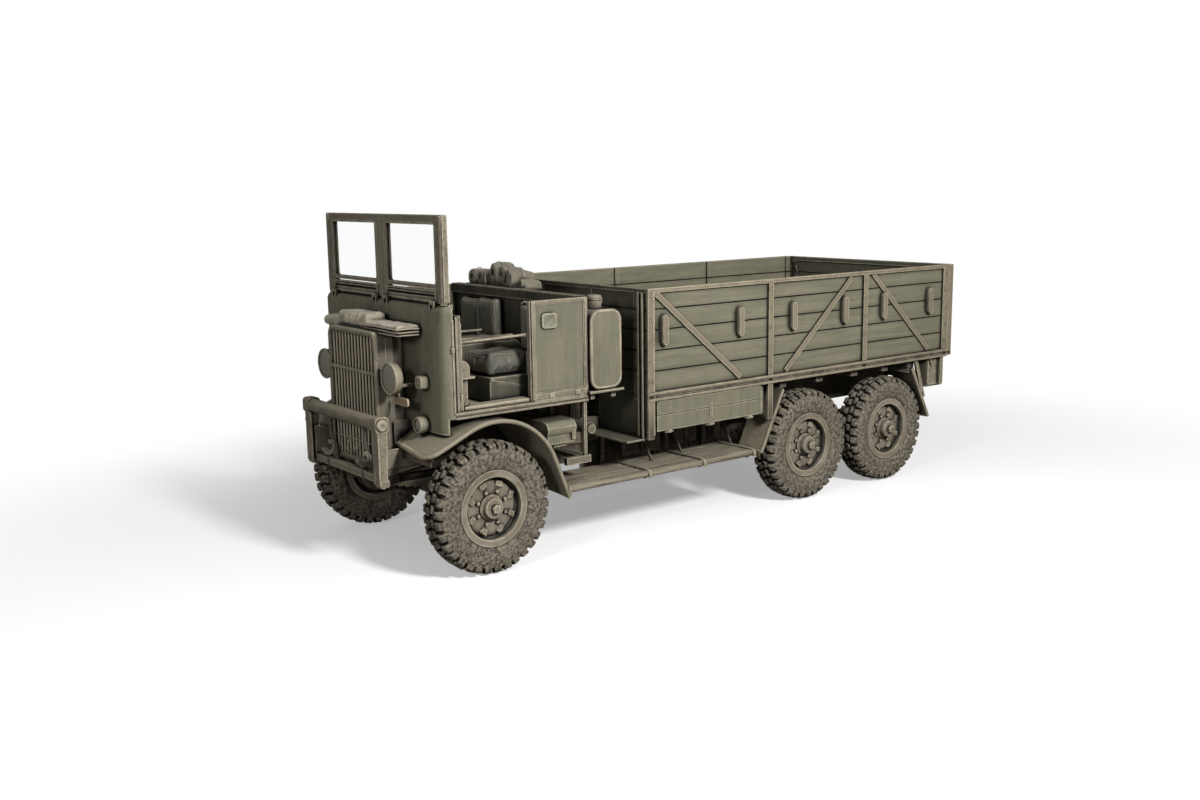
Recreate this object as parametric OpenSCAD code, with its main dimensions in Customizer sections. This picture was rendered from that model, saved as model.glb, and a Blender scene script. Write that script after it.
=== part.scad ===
// Six-wheeled open-cab cargo truck of the 1930s and 1940s pattern.
// +X points forward, +Y to the left side, +Z up. The origin lies on the ground
// below the middle of the overall box. All sizes are in millimetres.

/* [Axles and overall length] */
// Front axle to the first rear axle
wheelbase = 3560; // [3400:10:3800]
// First rear axle to the second rear axle
bogie_spread = 1170; // [1120:10:1260]
// Distance between the left and right wheel centre planes
track = 1920; // [1900:10:1960]
// Front axle to the face of the bumper tube
front_overhang = 775; // [760:5:850]
// Second rear axle to the straps on the tailgate
rear_overhang = 932; // [880:4:1000]

/* [Wheels] */
// Outside diameter of a tyre, tread bars included
tyre_d = 1060; // [1020:5:1080]
// Width of a tyre across its side walls
tyre_w = 272; // [240:4:288]
// Diameter over the rim flange
rim_d = 612; // [580:4:640]
// Diameter of a brake drum
drum_d = 410; // [360:5:430]
// Diameter of the front wheel spindle
front_spindle_d = 56; // [44:2:64]
// Diameter of the rear wheel spindle
rear_spindle_d = 76; // [60:2:84]
// Radial clearance of a hub on its spindle and of a pin in its bore
running_clearance = 0.05; // [0.02:0.01:0.1]
// Largest steering angle in degrees, used by the tie rod ends
steer_limit = 32; // [20:1:34]

/* [Chassis] */
// Height of the top of the side rails above the ground
rail_top = 970; // [940:5:1000]
// Depth of a side rail
rail_h = 200; // [160:5:220]
// Width over both side rails
rail_out_w = 860; // [820:5:880]
// Width of a side rail flange
rail_flange = 75; // [60:5:90]
// Thickness of the side rail steel
rail_t = 9; // [7:1:14]

/* [Cargo body] */
// Front axle to the front wall of the body
body_setback = 1516; // [1500:4:1560]
// Width over the posts of the body sides
body_w = 2272; // [2200:4:2320]
// Height of the top edge of the body sides above the ground
body_top = 2143; // [2000:5:2300]
// Height of the underside of the body's bottom rail above the ground
body_floor_z = 1194; // [1190:2:1220]
// Thickness of the side planks
plank_t = 28; // [22:1:36]
// Number of planks in the height of a side
plank_count = 5; // [4:1:6]
// How far rails and posts stand proud of the planks
post_proud = 20; // [14:1:26]
// Width of a body post
post_w = 62; // [50:2:80]
// Thickness of the floor boards
floor_t = 40; // [30:2:50]
// Depth of the side lockers below the body
locker_h = 276; // [240:4:300]

/* [Cab] */
// Width of the cab
cab_w = 1998; // [1940:4:2040]
// Front axle to the face of the front panel
cab_front = 363; // [350:1:375]
// Front axle to the outside of the cab's rear wall
cab_back = 984; // [960:4:1010]
// Height of the underside of the cab sill above the ground
sill_z = 1262; // [1256:1:1270]
// Height of the sill rail
sill_h = 46; // [36:1:54]
// Height of the top of the front panel above the ground
scuttle_top = 2131; // [2100:1:2160]
// Height of the top of the cab's rear and side panels above the ground
cab_wall_top = 2110; // [2080:5:2125]
// Thickness of the cab panels
cab_t = 30; // [24:1:40]
// Length of a side panel from the rear wall to the door opening
side_panel_l = 550; // [500:10:580]

/* [Windscreen] */
// Width of the windscreen frame
screen_w = 1926; // [1860:2:1950]
// Height of the windscreen frame
screen_h = 658; // [600:2:700]
// Thickness of the windscreen frame
screen_t = 44; // [36:2:50]
// Width of the outer upright of the frame
screen_post = 74; // [60:2:90]
// Width of the rail around each pane
screen_sash = 52; // [40:2:60]
// Height of the low strip pane
strip_h = 62; // [50:2:80]
// Thickness of the glass
glass_t = 6; // [4:1:8]

/* [Radiator] */
// Width of the radiator shell
radiator_w = 812; // [760:4:860]
// Height of the shell's underside above the ground
radiator_z = 820; // [800:5:860]
// Height of the shell's top above the ground
radiator_top = 1900; // [1850:5:1910]
// Front axle to the front of the shell
radiator_front = 622; // [600:2:640]
// Number of upright slats
slat_count = 13; // [9:2:17]

/* [Hidden] */

olive = [0.36, 0.37, 0.30];
tan_edge = [0.45, 0.42, 0.34];
dark_steel = [0.16, 0.16, 0.14];
dusty_tyre = [0.40, 0.38, 0.34];
wood_brown = [0.38, 0.36, 0.30];
hide_dark = [0.17, 0.17, 0.15];
canvas_tan = [0.42, 0.39, 0.31];

round_fn = 72;
bore_fn = 64;
// small overlap that makes two touching shapes one solid
lap = 1;
// rest gap between a moving piece and its neighbour
move_gap = 6;
// rest gap of a soft or loosely laid piece
seat_gap = 0.3;

// axle positions
overall_l = front_overhang + wheelbase + bogie_spread + rear_overhang;
front_x = overall_l / 2 - front_overhang;
mid_x = front_x - wheelbase;
rear_x = mid_x - bogie_spread;
bogie_x = (mid_x + rear_x) / 2;
axle_z = tyre_d / 2;
radiator_back_x = front_x + radiator_front - 150;
wheel_y = track / 2;

// chassis positions
rail_out = rail_out_w / 2;
rail_in = rail_out - rail_flange;
rail_z = rail_top - rail_h;
rail_mid_y = (rail_out + rail_in) / 2;
rail_front_x = front_x + 470;
cross_h = 100;
cross_drop = 20;
cross_w = 90;

// cargo body positions
body_front_x = front_x - body_setback;
strap_t = 20;
body_rear_x = rear_x - rear_overhang + strap_t;
gate_t = 62;
gate_gap = 6;
frame_rear_x = body_rear_x + 124;
side_rear_x = body_rear_x + gate_t + gate_gap;
side_y = body_w / 2 - post_proud;
side_in_y = side_y - plank_t;
rail_band = 80;
floor_top = body_floor_z + rail_band - 6;
floor_z = floor_top - floor_t;
plank_z = body_floor_z + rail_band;
plank_h = (body_top - plank_z) / plank_count;
groove = 7;
side_l = body_front_x - side_rear_x;
bay_1_x = body_front_x - 1455;
bay_2_x = body_front_x - 2755;
bearer_h = 100;
bearer_w = 80;
bearer_z = floor_z - bearer_h;
locker_z = body_floor_z - locker_h;
locker_l = 1370;
locker_in_y = 560;
locker_skin = 24;
flap_t = 22;
flap_l = locker_l - 130;
flap_h = locker_h - 26;
flap_pin_r = 7;
flap_lug_r = 9;

// cab positions
cab_y = cab_w / 2;
cab_front_x = front_x + cab_front;
cab_back_x = front_x - cab_back;
sill_top = sill_z + sill_h;
panel_depth = 84;
apron_z = 1142;
panel_corner_r = 100;
panel_top_r = 70;
door_front_x = cab_front_x - panel_depth;
door_rear_x = cab_back_x + side_panel_l;
tunnel_half = 285;

// windscreen positions
screen_x = front_x + 300;
screen_z = scuttle_top + move_gap;
screen_pin_x = screen_x + screen_t / 2 + 22;
screen_pin_r = 9;
screen_pin_ys = [-820, -90, 90, 820];
pane_in_y = 96;
pane_out_y = screen_w / 2 - screen_post - screen_sash;
strip_z = screen_z + 44;
pane_z = strip_z + strip_h + 30;
pane_top = screen_z + screen_h - screen_sash - 6;

// steering
kingpin_y = 750;
kingpin_d = 40;
kingpin_boss_h = 110;
arm_l = 220;
rod_z = axle_z - 66;
rod_pin_d = 24;
column_x = front_x - 10;
column_y = -560;
column_tilt = 24;
wheel_rim_d = 470;
column_l = 690;

// wing
wing_arc_r = 593;
wing_arc_x = front_x - 20;
wing_arc_z = axle_z + 110;
wing_front_angle = 66;
wing_rear_angle = 158;
wing_t = 14;
wing_out_y = 1106;
wing_in_y = rail_out + 20;
wing_front_l = 398;
wing_rear_l = 372;

// running board
board_top = 585;
board_t = 36;
board_in_y = 600;
board_out_y = 1100;
board_front_x = front_x - 706;
board_joints = [0, 850, 1480, 2096];

function arc(cx, cz, r, a0, a1, n) =
    [for (i = [0:n]) let (a = a0 + (a1 - a0) * i / n) [cx + r * cos(a), cz + r * sin(a)]];

// ---------------------------------------------------------------- helpers

// axis-aligned block between two corners
module block(lo, hi) {
    translate(lo) cube(hi - lo);
}

// repeats its children mirrored to the right side
module both_sides() {
    children();
    mirror([0, 1, 0]) children();
}

// plate from a side-view outline (x, z), between two widths
module side_plate(y0, y1) {
    translate([0, y1, 0]) rotate([90, 0, 0]) linear_extrude(y1 - y0) children();
}

// plate from a front-view outline (y, z), between two lengths
module front_plate(x0, x1) {
    translate([x0, 0, 0]) rotate([90, 0, 90]) linear_extrude(x1 - x0) children();
}

// round bar along Y
module bar_y(x, z, y0, y1, r) {
    translate([x, y1, z]) rotate([90, 0, 0]) cylinder(h = y1 - y0, r = r, $fn = bore_fn);
}

// round bar along X
module bar_x(y, z, x0, x1, r) {
    translate([x0, y, z]) rotate([0, 90, 0]) cylinder(h = x1 - x0, r = r, $fn = bore_fn);
}

// round bar between two points
module bar(p, q, r) {
    d = q - p;
    translate(p)
        rotate([0, acos(d[2] / norm(d)), atan2(d[1], d[0])])
            cylinder(h = norm(d), r = r, $fn = bore_fn);
}

// outline of a rectangle with round corners, from its lower left corner
module rounded(w, h, r) {
    translate([r, 0]) square([w - 2 * r, h]);
    translate([0, r]) square([w, h - 2 * r]);
    for (x = [r, w - r]) for (y = [r, h - r])
        translate([x, y]) circle(r, $fn = 48);
}

// flat strip of a given width between two points of the (x, z) plane
module strip(p, q, w) {
    d = q - p;
    translate(p) rotate(atan2(d[1], d[0])) translate([0, -w / 2]) square([norm(d), w]);
}

// ---------------------------------------------------------------- chassis

module rail_section() {
    difference() {
        translate([rail_in, rail_z]) square([rail_flange, rail_h]);
        translate([rail_in - lap, rail_z + rail_t])
            square([rail_flange - rail_t + lap, rail_h - 2 * rail_t]);
    }
}

module side_rails() {
    color(dark_steel) both_sides() {
        front_plate(frame_rear_x, rail_front_x) rail_section();
        // timber runner between the rail and the body bearers
        block([frame_rear_x, rail_in, rail_top - lap], [body_front_x - 40, rail_out, bearer_z]);
    }
}

module cross_members() {
    cross_xs = [front_x + 400, front_x - 1250, front_x - 2250, bogie_x, frame_rear_x + 50];
    color(dark_steel) {
        for (x = cross_xs)
            block([x - cross_w / 2, -rail_out + rail_t, rail_top - cross_h - cross_drop],
                  [x + cross_w / 2, rail_out - rail_t, rail_top - cross_drop]);
        // saddle that carries the radiator on the front cross member
        block([front_x + 440, -300, rail_top - 110], [radiator_back_x, 300, rail_top - 30]);
        // towing jaw on the last cross member
        tow_jaw();
    }
}

// outriggers and mountings between the side rails and the cab
module cab_mounts() {
    color(dark_steel) both_sides() {
        for (x = [front_x - 620, cab_back_x + 60])
            block([x - 30, rail_out, rail_top - 90], [x + 30, rail_out + 110, rail_top - 20]);
        for (x = [front_x + 220, front_x - 620, cab_back_x + 60])
            block([x - 40, rail_in, rail_top], [x + 40, rail_out, sill_z]);
    }
}

// towing jaw with an upright pin hole, at the tail of the frame
tow_pin_r = 14;
tow_x = body_rear_x + 66;
tow_z = rail_top - 70;
module tow_jaw() {
    difference() {
        block([tow_x, -60, tow_z - 60], [frame_rear_x + 6, 60, tow_z + 60]);
        block([tow_x - lap, -60 - lap, tow_z - 30], [tow_x + 44, 60 + lap, tow_z + 30]);
        translate([tow_x + 22, 0, tow_z - 80]) cylinder(h = 160, r = tow_pin_r, $fn = bore_fn);
    }
}

// ---------------------------------------------------------------- bumper

bumper_r = 55;
bumper_z = 1222;
bumper_half = 530;
module front_bumper() {
    tube_x = front_x + front_overhang - bumper_r;
    post_y0 = bumper_half + 12;
    post_y1 = bumper_half + 112;
    arm_y0 = post_y0 - 14;
    color(olive) {
        bar_y(tube_x, bumper_z, -bumper_half - 40, bumper_half + 40, bumper_r);
        both_sides() {
            // clamp block on the tube's end, and the post below it
            side_plate(post_y0, post_y1)
                translate([tube_x - 58, bumper_z - 62]) rounded(112, 124, 30);
            bar_y(tube_x, bumper_z, post_y1 - lap, post_y1 + 16, 30);
            side_plate(post_y0 + 10, post_y1 - 6)
                polygon([[tube_x - 48, bumper_z - 40], [tube_x + 40, bumper_z - 40],
                         [tube_x + 30, 745], [tube_x, 722], [tube_x - 34, 745]]);
            // gusset plate from the post to the side rail
            side_plate(arm_y0, arm_y0 + 16)
                polygon([[tube_x - 20, 790], [tube_x - 20, 1040], [tube_x - 70, 1040],
                         [front_x + 560, 990], [front_x + 230, 930], [front_x + 230, 850]]);
            block([front_x + 300, rail_out, 850], [front_x + 380, arm_y0 + lap, 930]);
            block([tube_x - 30, arm_y0 + lap, 800], [tube_x + 10, post_y0 + 12, 1050]);
        }
        // lower cross bar
        block([tube_x - 40, -post_y0 - 12, 756], [tube_x + 6, post_y0 + 12, 812]);
        // tow hooks below the tube
        for (y = [-300, 300]) tow_hook(tube_x, y);
    }
}

module tow_hook(x, y) {
    side_plate(y - 16, y + 16) {
        difference() {
            translate([x - 6, 905]) circle(62, $fn = 48);
            translate([x - 6, 905]) circle(30, $fn = 48);
            translate([x - 6, 905]) square([90, 90]);
        }
        translate([x - 68, 800]) square([34, 120]);
        translate([x - 68, 800]) square([60, 24]);
    }
}

// ---------------------------------------------------------------- radiator

radiator_corner = 70;
shell_t = 34;
shell_depth = 150;
module radiator() {
    front = front_x + radiator_front;
    half = radiator_w / 2;
    opening_w = radiator_w - 2 * shell_t;
    bay = opening_w / (slat_count + 1);
    color(olive) {
        // shell, open at the front
        difference() {
            front_plate(front - shell_depth, front)
                translate([-half, radiator_z]) rounded(radiator_w, radiator_top - radiator_z, radiator_corner);
            front_plate(front - shell_depth + 30, front + lap)
                translate([-half + shell_t, radiator_z + shell_t])
                    rounded(opening_w, radiator_top - radiator_z - 2 * shell_t, radiator_corner - shell_t / 2);
        }
        // upright slats and one cross bar
        for (i = [1:slat_count])
            block([front - 30, -opening_w / 2 + i * bay - 8, radiator_z + shell_t - lap],
                  [front - 4, -opening_w / 2 + i * bay + 8, radiator_top - shell_t + lap]);
        block([front - 28, -opening_w / 2 - lap, 1560], [front, opening_w / 2 + lap, 1586]);
        // cowl between the shell and the cab panel
        difference() {
            block([cab_front_x, -half + 40, 1000], [front - shell_depth + lap, half - 40, radiator_top - 60]);
            block([cab_front_x - lap, -half + 52, 1000 - lap], [front - shell_depth, half - 52, radiator_top - 74]);
        }
    }
}

// folded canvas muff laid over the top of the radiator
module radiator_muff() {
    back = cab_front_x + seat_gap;
    z0 = radiator_top + seat_gap;
    color(canvas_tan) {
        hull() {
            block([back, -760, z0], [back + 150, 700, z0 + 30]);
            block([back + 20, -700, z0], [back + 225, 660, z0 + 24]);
        }
        for (y = [[-740, -radiator_w / 2 - 4], [radiator_w / 2 + 4, 690]])
            block([back + 10, y[0], z0 - 18], [back + 170, y[1], z0 + lap]);
        hull() {
            block([back + 6, -330, z0 + 20], [back + 215, 210, z0 + 40]);
            bar_y(back + 60, z0 + 34, -320, 200, 34);
        }
    }
}

// ---------------------------------------------------------------- cab

module panel_block(grow) {
    y = cab_y - panel_corner_r;
    hull() both_sides() {
        translate([cab_front_x - panel_corner_r, y, apron_z])
            cylinder(h = scuttle_top - apron_z - 190, r = panel_corner_r - grow, $fn = 48);
        translate([cab_front_x - panel_top_r - 8, y + panel_corner_r - panel_top_r, scuttle_top - panel_top_r])
            sphere(r = panel_top_r - grow, $fn = 40);
    }
}

module cab_front_panel() {
    color(olive) {
        difference() {
            intersection() {
                panel_block(0);
                union() {
                    block([door_front_x, -cab_y, sill_z], [cab_front_x, cab_y, scuttle_top]);
                    block([cab_front_x - cab_t - 10, -cab_y, apron_z], [cab_front_x, cab_y, sill_z + lap]);
                }
            }
            translate([-lap, 0, -lap]) intersection() {
                panel_block(cab_t);
                block([door_front_x - 20, -cab_y, apron_z - lap], [cab_front_x, cab_y, scuttle_top - cab_t]);
            }
            // opening behind the radiator
            block([door_front_x - lap, -radiator_w / 2 + 60, apron_z - lap],
                  [cab_front_x + lap, radiator_w / 2 - 60, radiator_top - 90]);
        }
        // scuttle rail that carries the windscreen hinges
        block([screen_x - screen_t, -cab_y + 30, scuttle_top - 44], [cab_front_x - 70, cab_y - 30, scuttle_top]);
        // hinge pins of the windscreen
        for (y = screen_pin_ys) {
            bar_y(screen_pin_x, screen_z, y - 28, y + 28, screen_pin_r);
            for (e = [-34, 22])
                block([screen_pin_x - 14, y + e, scuttle_top - 56], [screen_pin_x + 10, y + e + 12, screen_z + 14]);
        }
        // door posts
        both_sides()
            block([door_front_x - 4, cab_y - 46, sill_z], [door_front_x + 24, cab_y - 4, scuttle_top - 60]);
    }
}

module cab_floor() {
    color(olive) difference() {
        union() {
            block([cab_back_x, -cab_y + 4, sill_z], [door_front_x - 4, cab_y - 4, sill_top]);
            // rolled sill edges
            both_sides()
                block([cab_back_x, cab_y - cab_t, sill_z - 8], [door_front_x - 4, cab_y, sill_top + 4]);
            // sloping toe boards
            both_sides() side_plate(tunnel_half + 10, cab_y - 100)
                polygon([[door_front_x - 230, sill_top - lap], [door_front_x - 30, sill_top + 190],
                         [door_front_x - 10, sill_top + 190], [door_front_x - 190, sill_top - lap]]);
        }
        block([cab_back_x + 190, -tunnel_half + 22, sill_z - 10], [door_front_x + 10, tunnel_half - 22, sill_top + 10]);
    }
}

module cab_side_panels() {
    color(olive) both_sides() {
        difference() {
            block([cab_back_x, cab_y - cab_t, sill_top + 4], [door_rear_x, cab_y, cab_wall_top]);
            // sunk field inside the edge frame
            block([cab_back_x + 40, cab_y - 6, sill_top + 74], [door_rear_x - 40, cab_y + lap, cab_wall_top - 36]);
        }
        // hatch cover
        side_plate(cab_y - 7, cab_y + 4)
            translate([door_rear_x - 240, cab_wall_top - 224]) rounded(140, 116, 22);
        // upright at the door opening
        block([door_rear_x - 18, cab_y - 46, sill_top + 4], [door_rear_x + 12, cab_y - 8, cab_wall_top - 2]);
    }
}

module cab_rear_wall() {
    in_y = cab_y - cab_t;
    color(olive) {
        block([cab_back_x, -in_y, sill_top], [cab_back_x + cab_t, in_y, cab_wall_top + 10]);
        block([cab_back_x - 6, -in_y, cab_wall_top - 70], [cab_back_x + 74, in_y, cab_wall_top + 10]);
    }
}

// shaped boards at the front of each door opening
module cowl_boards() {
    x0 = door_front_x - 6;
    color(tan_edge) both_sides() {
        side_plate(cab_y - 40, cab_y - 12) {
            translate([x0 - 72, sill_top + 4]) square([72, 660]);
            translate([x0 - 40, sill_top + 664]) circle(32, $fn = 40);
            translate([x0 - 72, sill_top + 330]) circle(64, $fn = 48);
            translate([x0 - 136, sill_top + 262]) square([136, 68]);
        }
        block([x0 - 180, cab_y - 90, sill_top + 250], [x0 - 60, cab_y - 12, sill_top + 266]);
        block([x0 - 130, cab_y - 84, sill_top + 4], [x0 - 70, cab_y - 40, sill_top + 251]);
    }
}

// ---------------------------------------------------------------- windscreen

module pane_outline(grow) {
    w = pane_out_y - pane_in_y + 2 * grow;
    for (s = [0, 1]) mirror([s, 0]) {
        translate([pane_in_y - grow, pane_z - grow]) rounded(w, pane_top - pane_z + 2 * grow, 24 + grow);
        translate([pane_in_y - grow, strip_z - grow]) rounded(w, strip_h + 2 * grow, 12 + grow);
    }
}

module windscreen_frame() {
    x0 = screen_x - screen_t / 2;
    color(olive) {
        difference() {
            front_plate(x0, x0 + screen_t)
                translate([-screen_w / 2, screen_z]) rounded(screen_w, screen_h, 16);
            front_plate(x0 - lap, x0 + screen_t + lap) pane_outline(0);
            // glass rebate
            front_plate(screen_x - glass_t / 2 - 1, screen_x + glass_t / 2 + 1) pane_outline(14);
        }
        // hinge eyes
        for (y = screen_pin_ys) difference() {
            union() {
                block([x0 + screen_t - lap, y - 18, screen_z - 2], [screen_pin_x, y + 18, screen_z + 16]);
                bar_y(screen_pin_x, screen_z, y - 18, y + 18, 16);
            }
            bar_y(screen_pin_x, screen_z, y - 20, y + 20, screen_pin_r + running_clearance);
        }
    }
}

module windscreen_glass() {
    color([0.8, 0.85, 0.85, 0.3])
        front_plate(screen_x - glass_t / 2, screen_x + glass_t / 2) pane_outline(13);
}

// ---------------------------------------------------------------- cab inside

module dashboard() {
    x1 = door_front_x;
    color(olive) {
        block([x1 - 96, -cab_y + 52, 1820], [x1 - 70, cab_y - 52, 2040]);
        both_sides() block([x1 - 96, cab_y - 110, 1900], [x1 + 18, cab_y - 46, 1960]);
        // instrument bezels
        for (y = [-660, -520, -380])
            translate([x1 - 104, y, 1935]) rotate([0, 90, 0]) cylinder(h = 12, r = 52, $fn = round_fn);
        steering_column();
    }
}

function column_point(l) =
    [column_x - l * sin(column_tilt), column_y, sill_top + 6 + l * cos(column_tilt)];

module steering_column() {
    translate([column_x, column_y, sill_top]) cylinder(h = 14, r = 52, $fn = bore_fn);
    bar(column_point(8), column_point(column_l - 30), 26);
    bar(column_point(column_l - 31), column_point(column_l + 22), 11);
}

module steering_wheel() {
    color(dark_steel)
        translate(column_point(column_l)) rotate([0, -column_tilt, 0]) {
            rotate_extrude($fn = round_fn) translate([wheel_rim_d / 2, 0]) circle(15, $fn = 24);
            difference() {
                union() {
                    translate([0, 0, -22]) cylinder(h = 50, r = 42, $fn = round_fn);
                    for (a = [45:90:315]) rotate([0, 0, a])
                        translate([30, -9, -6]) cube([wheel_rim_d / 2 - 32, 18, 12]);
                }
                translate([0, 0, -23]) cylinder(h = 46, r = 11 + running_clearance, $fn = bore_fn);
            }
        }
}

seat_front_x = front_x - 125;
near_seat_y = 630;
near_seat_w = 430;
far_seat_y = -560;
far_seat_w = 520;
near_cushion_z = 1520;
far_cushion_z = 1490;
near_back_x = front_x - 475;
far_back_x = cab_back_x + cab_t;
module seat_frames() {
    color(olive) {
        // passenger seat stand with a diagonal stay
        for (y = [near_seat_y - near_seat_w / 2, near_seat_y + near_seat_w / 2 - 30]) {
            block([seat_front_x - 345, y, sill_top], [seat_front_x - 315, y + 30, near_cushion_z]);
            block([seat_front_x - 40, y, sill_top], [seat_front_x - 10, y + 30, near_cushion_z]);
            side_plate(y + 4, y + 26)
                strip([seat_front_x - 30, near_cushion_z - 24], [seat_front_x - 325, sill_top + 60], 26);
        }
        block([seat_front_x - 345, near_seat_y - near_seat_w / 2, near_cushion_z - 20],
              [seat_front_x - 10, near_seat_y + near_seat_w / 2, near_cushion_z - seat_gap]);
        // back plate of the passenger seat
        block([near_back_x - 105, near_seat_y - 180, sill_top], [near_back_x - 92, near_seat_y + 190, 2040]);
        // driver's seat box
        difference() {
            block([far_back_x + 20, far_seat_y - far_seat_w / 2, sill_top],
                  [seat_front_x - 290, far_seat_y + far_seat_w / 2, far_cushion_z - seat_gap]);
            block([far_back_x + 44, far_seat_y - far_seat_w / 2 + 24, sill_top - lap],
                  [seat_front_x - 314, far_seat_y + far_seat_w / 2 - 24, far_cushion_z - 24]);
        }
    }
}

// soft block with rounded upright and top edges
module pad(lo, hi, r) {
    hull() for (x = [lo[0] + r, hi[0] - r]) for (y = [lo[1] + r, hi[1] - r]) {
        translate([x, y, lo[2]]) cylinder(h = 10, r = r, $fn = 32);
        translate([x, y, hi[2] - r]) sphere(r = r, $fn = 32);
    }
}

module seat_cushions() {
    color(hide_dark) {
        pad([seat_front_x - 345, near_seat_y - near_seat_w / 2, near_cushion_z],
            [seat_front_x, near_seat_y + near_seat_w / 2, near_cushion_z + 165], 45);
        pad([far_back_x + 110, far_seat_y - far_seat_w / 2, far_cushion_z],
            [seat_front_x - 270, far_seat_y + far_seat_w / 2, far_cushion_z + 150], 45);
    }
}

module seat_backs() {
    color(hide_dark) {
        pad([near_back_x - 92 + seat_gap, near_seat_y - 200, near_cushion_z + 170],
            [near_back_x - 6, near_seat_y + 215, 2076], 40);
        pad([far_back_x + seat_gap, far_seat_y - 240, far_cushion_z + 155],
            [far_back_x + 100, far_seat_y + 440, 2036], 42);
    }
}

cover_top = 1716;
module engine_cover() {
    color(olive) {
        difference() {
            side_plate(-tunnel_half, tunnel_half)
                polygon([[cab_back_x + 150, sill_top], [cab_back_x + 150, cover_top - 60],
                         [cab_back_x + 210, cover_top], [door_front_x - 150, cover_top],
                         [door_front_x - 110, cover_top - 40], [door_front_x - 110, sill_top]]);
            side_plate(-tunnel_half + 20, tunnel_half - 20)
                polygon([[cab_back_x + 170, sill_top - lap], [cab_back_x + 170, cover_top - 68],
                         [cab_back_x + 218, cover_top - 20], [door_front_x - 158, cover_top - 20],
                         [door_front_x - 130, cover_top - 48], [door_front_x - 130, sill_top - lap]]);
        }
        // grab rail along each top edge
        both_sides() {
            bar_x(tunnel_half - 40, cover_top + 36, cab_back_x + 230, door_front_x - 190, 13);
            for (x = [cab_back_x + 260, door_front_x - 220])
                translate([x, tunnel_half - 40, cover_top - lap]) cylinder(h = 36, r = 10, $fn = 32);
        }
    }
}

module engine() {
    color(dark_steel) {
        block([cab_back_x + 330, -210, 700], [front_x + 130, 210, 1500]);
        // gearbox behind the engine, with its cross-member mountings
        block([cab_back_x - 180, -150, 690], [cab_back_x + 330 + lap, 150, 930]);
        both_sides() for (x = [front_x + 90, cab_back_x + 100])
            block([x - 30, 149, 800], [x + 30, rail_out - rail_t, 850]);
    }
}

// ---------------------------------------------------------------- behind the cab

hood_z = cab_wall_top + 10 + seat_gap;
hood_x = cab_back_x - 120;
module folded_hood() {
    color(canvas_tan) {
        block([hood_x - 110, -880, hood_z - 6], [cab_back_x - 8, 120, hood_z + 40]);
        bar_y(hood_x + 52, hood_z + 64, -820, 60, 64);
        bar_y(hood_x - 50, hood_z + 92, -700, 10, 74);
    }
    // iron hood sticks that carry the roll behind the rear wall
    color(dark_steel)
        for (y = [-860, -420, 30])
            block([hood_x - 110, y, hood_z - 24], [cab_back_x - 6, y + 26, hood_z - 5]);
}

tank_l = 317;
tank_out_y = 1036;
tank_in_y = 560;
tank_z = 1345;
tank_h = 650;
module fuel_tank() {
    x1 = cab_back_x - 8;
    color(olive) {
        side_plate(tank_in_y, tank_out_y - 14)
            translate([x1 - tank_l + 8, tank_z + 8]) rounded(tank_l - 16, tank_h - 16, 82);
        side_plate(tank_out_y - 16, tank_out_y)
            translate([x1 - tank_l, tank_z]) rounded(tank_l, tank_h, 90);
        // filler neck and cap
        translate([x1 - tank_l / 2 - 60, 820, tank_z + tank_h - 40]) cylinder(h = 96, r = 48, $fn = round_fn);
        translate([x1 - tank_l / 2 - 60, 820, tank_z + tank_h + 40]) cylinder(h = 40, r = 58, $fn = round_fn);
    }
}

carrier_x0 = cab_back_x - 300;
module tank_carrier() {
    color(tan_edge) {
        // shelf at each side and the cross members below it
        both_sides() block([carrier_x0, 440, tank_z - 34], [cab_back_x, tank_out_y + 4, tank_z - 12]);
        both_sides() for (y = [590, 900])
            block([carrier_x0 + 30, y, tank_z - 12 - lap], [cab_back_x - 20, y + 30, tank_z + 8]);
        for (x = [carrier_x0 + 20, cab_back_x - 60])
            block([x, -tank_out_y + 30, tank_z - 80], [x + 40, tank_out_y - 30, tank_z - 33]);
        both_sides() {
            // upright strut and its foot on an outrigger
            block([cab_back_x + 12, cab_y - 36, 800], [cab_back_x + 40, cab_y - 8, sill_z - 8]);
            block([cab_back_x - 20, cab_y - 46, 742], [cab_back_x + 225, cab_y, 802]);
            block([cab_back_x - 20, rail_out, 752], [cab_back_x + 60, cab_y - 45, 796]);
            // legs down to the side rails
            for (x = [carrier_x0 + 20, cab_back_x - 60])
                block([x, rail_in, rail_top], [x + 40, rail_out, tank_z - 79]);
            // round air cleaner on its bracket
            bar_y(cab_back_x - 110, 990, rail_out + 120, 870, 52);
            bar_y(cab_back_x - 110, 990, 869, 900, 38);
            block([cab_back_x - 140, rail_out, 950], [cab_back_x - 80, rail_out + 130, 968]);
        }
    }
}

box_x0 = front_x - 868;
box_out_y = 1006;
module battery_boxes() {
    color(olive) both_sides() {
        // box with a rounded lid
        side_plate(rail_out + 150, box_out_y - 40)
            translate([box_x0 + 6, 930]) square([272, 160]);
        hull() {
            block([box_x0, rail_out + 140, 1060], [box_x0 + 284, box_out_y - 20, 1066]);
            bar_x(box_out_y - 90, 1046, box_x0, box_x0 + 284, 70);
            block([box_x0, rail_out + 140, 1110], [box_x0 + 284, box_out_y - 90, 1116]);
        }
        block([box_x0 + 10, box_out_y - 41, 955], [box_x0 + 44, box_out_y - 20, 1050]);
        // bearer to the side rail
        block([box_x0 + 80, rail_out, 900], [box_x0 + 200, box_out_y - 60, 931]);
    }
}

// ---------------------------------------------------------------- wings and boards

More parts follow.
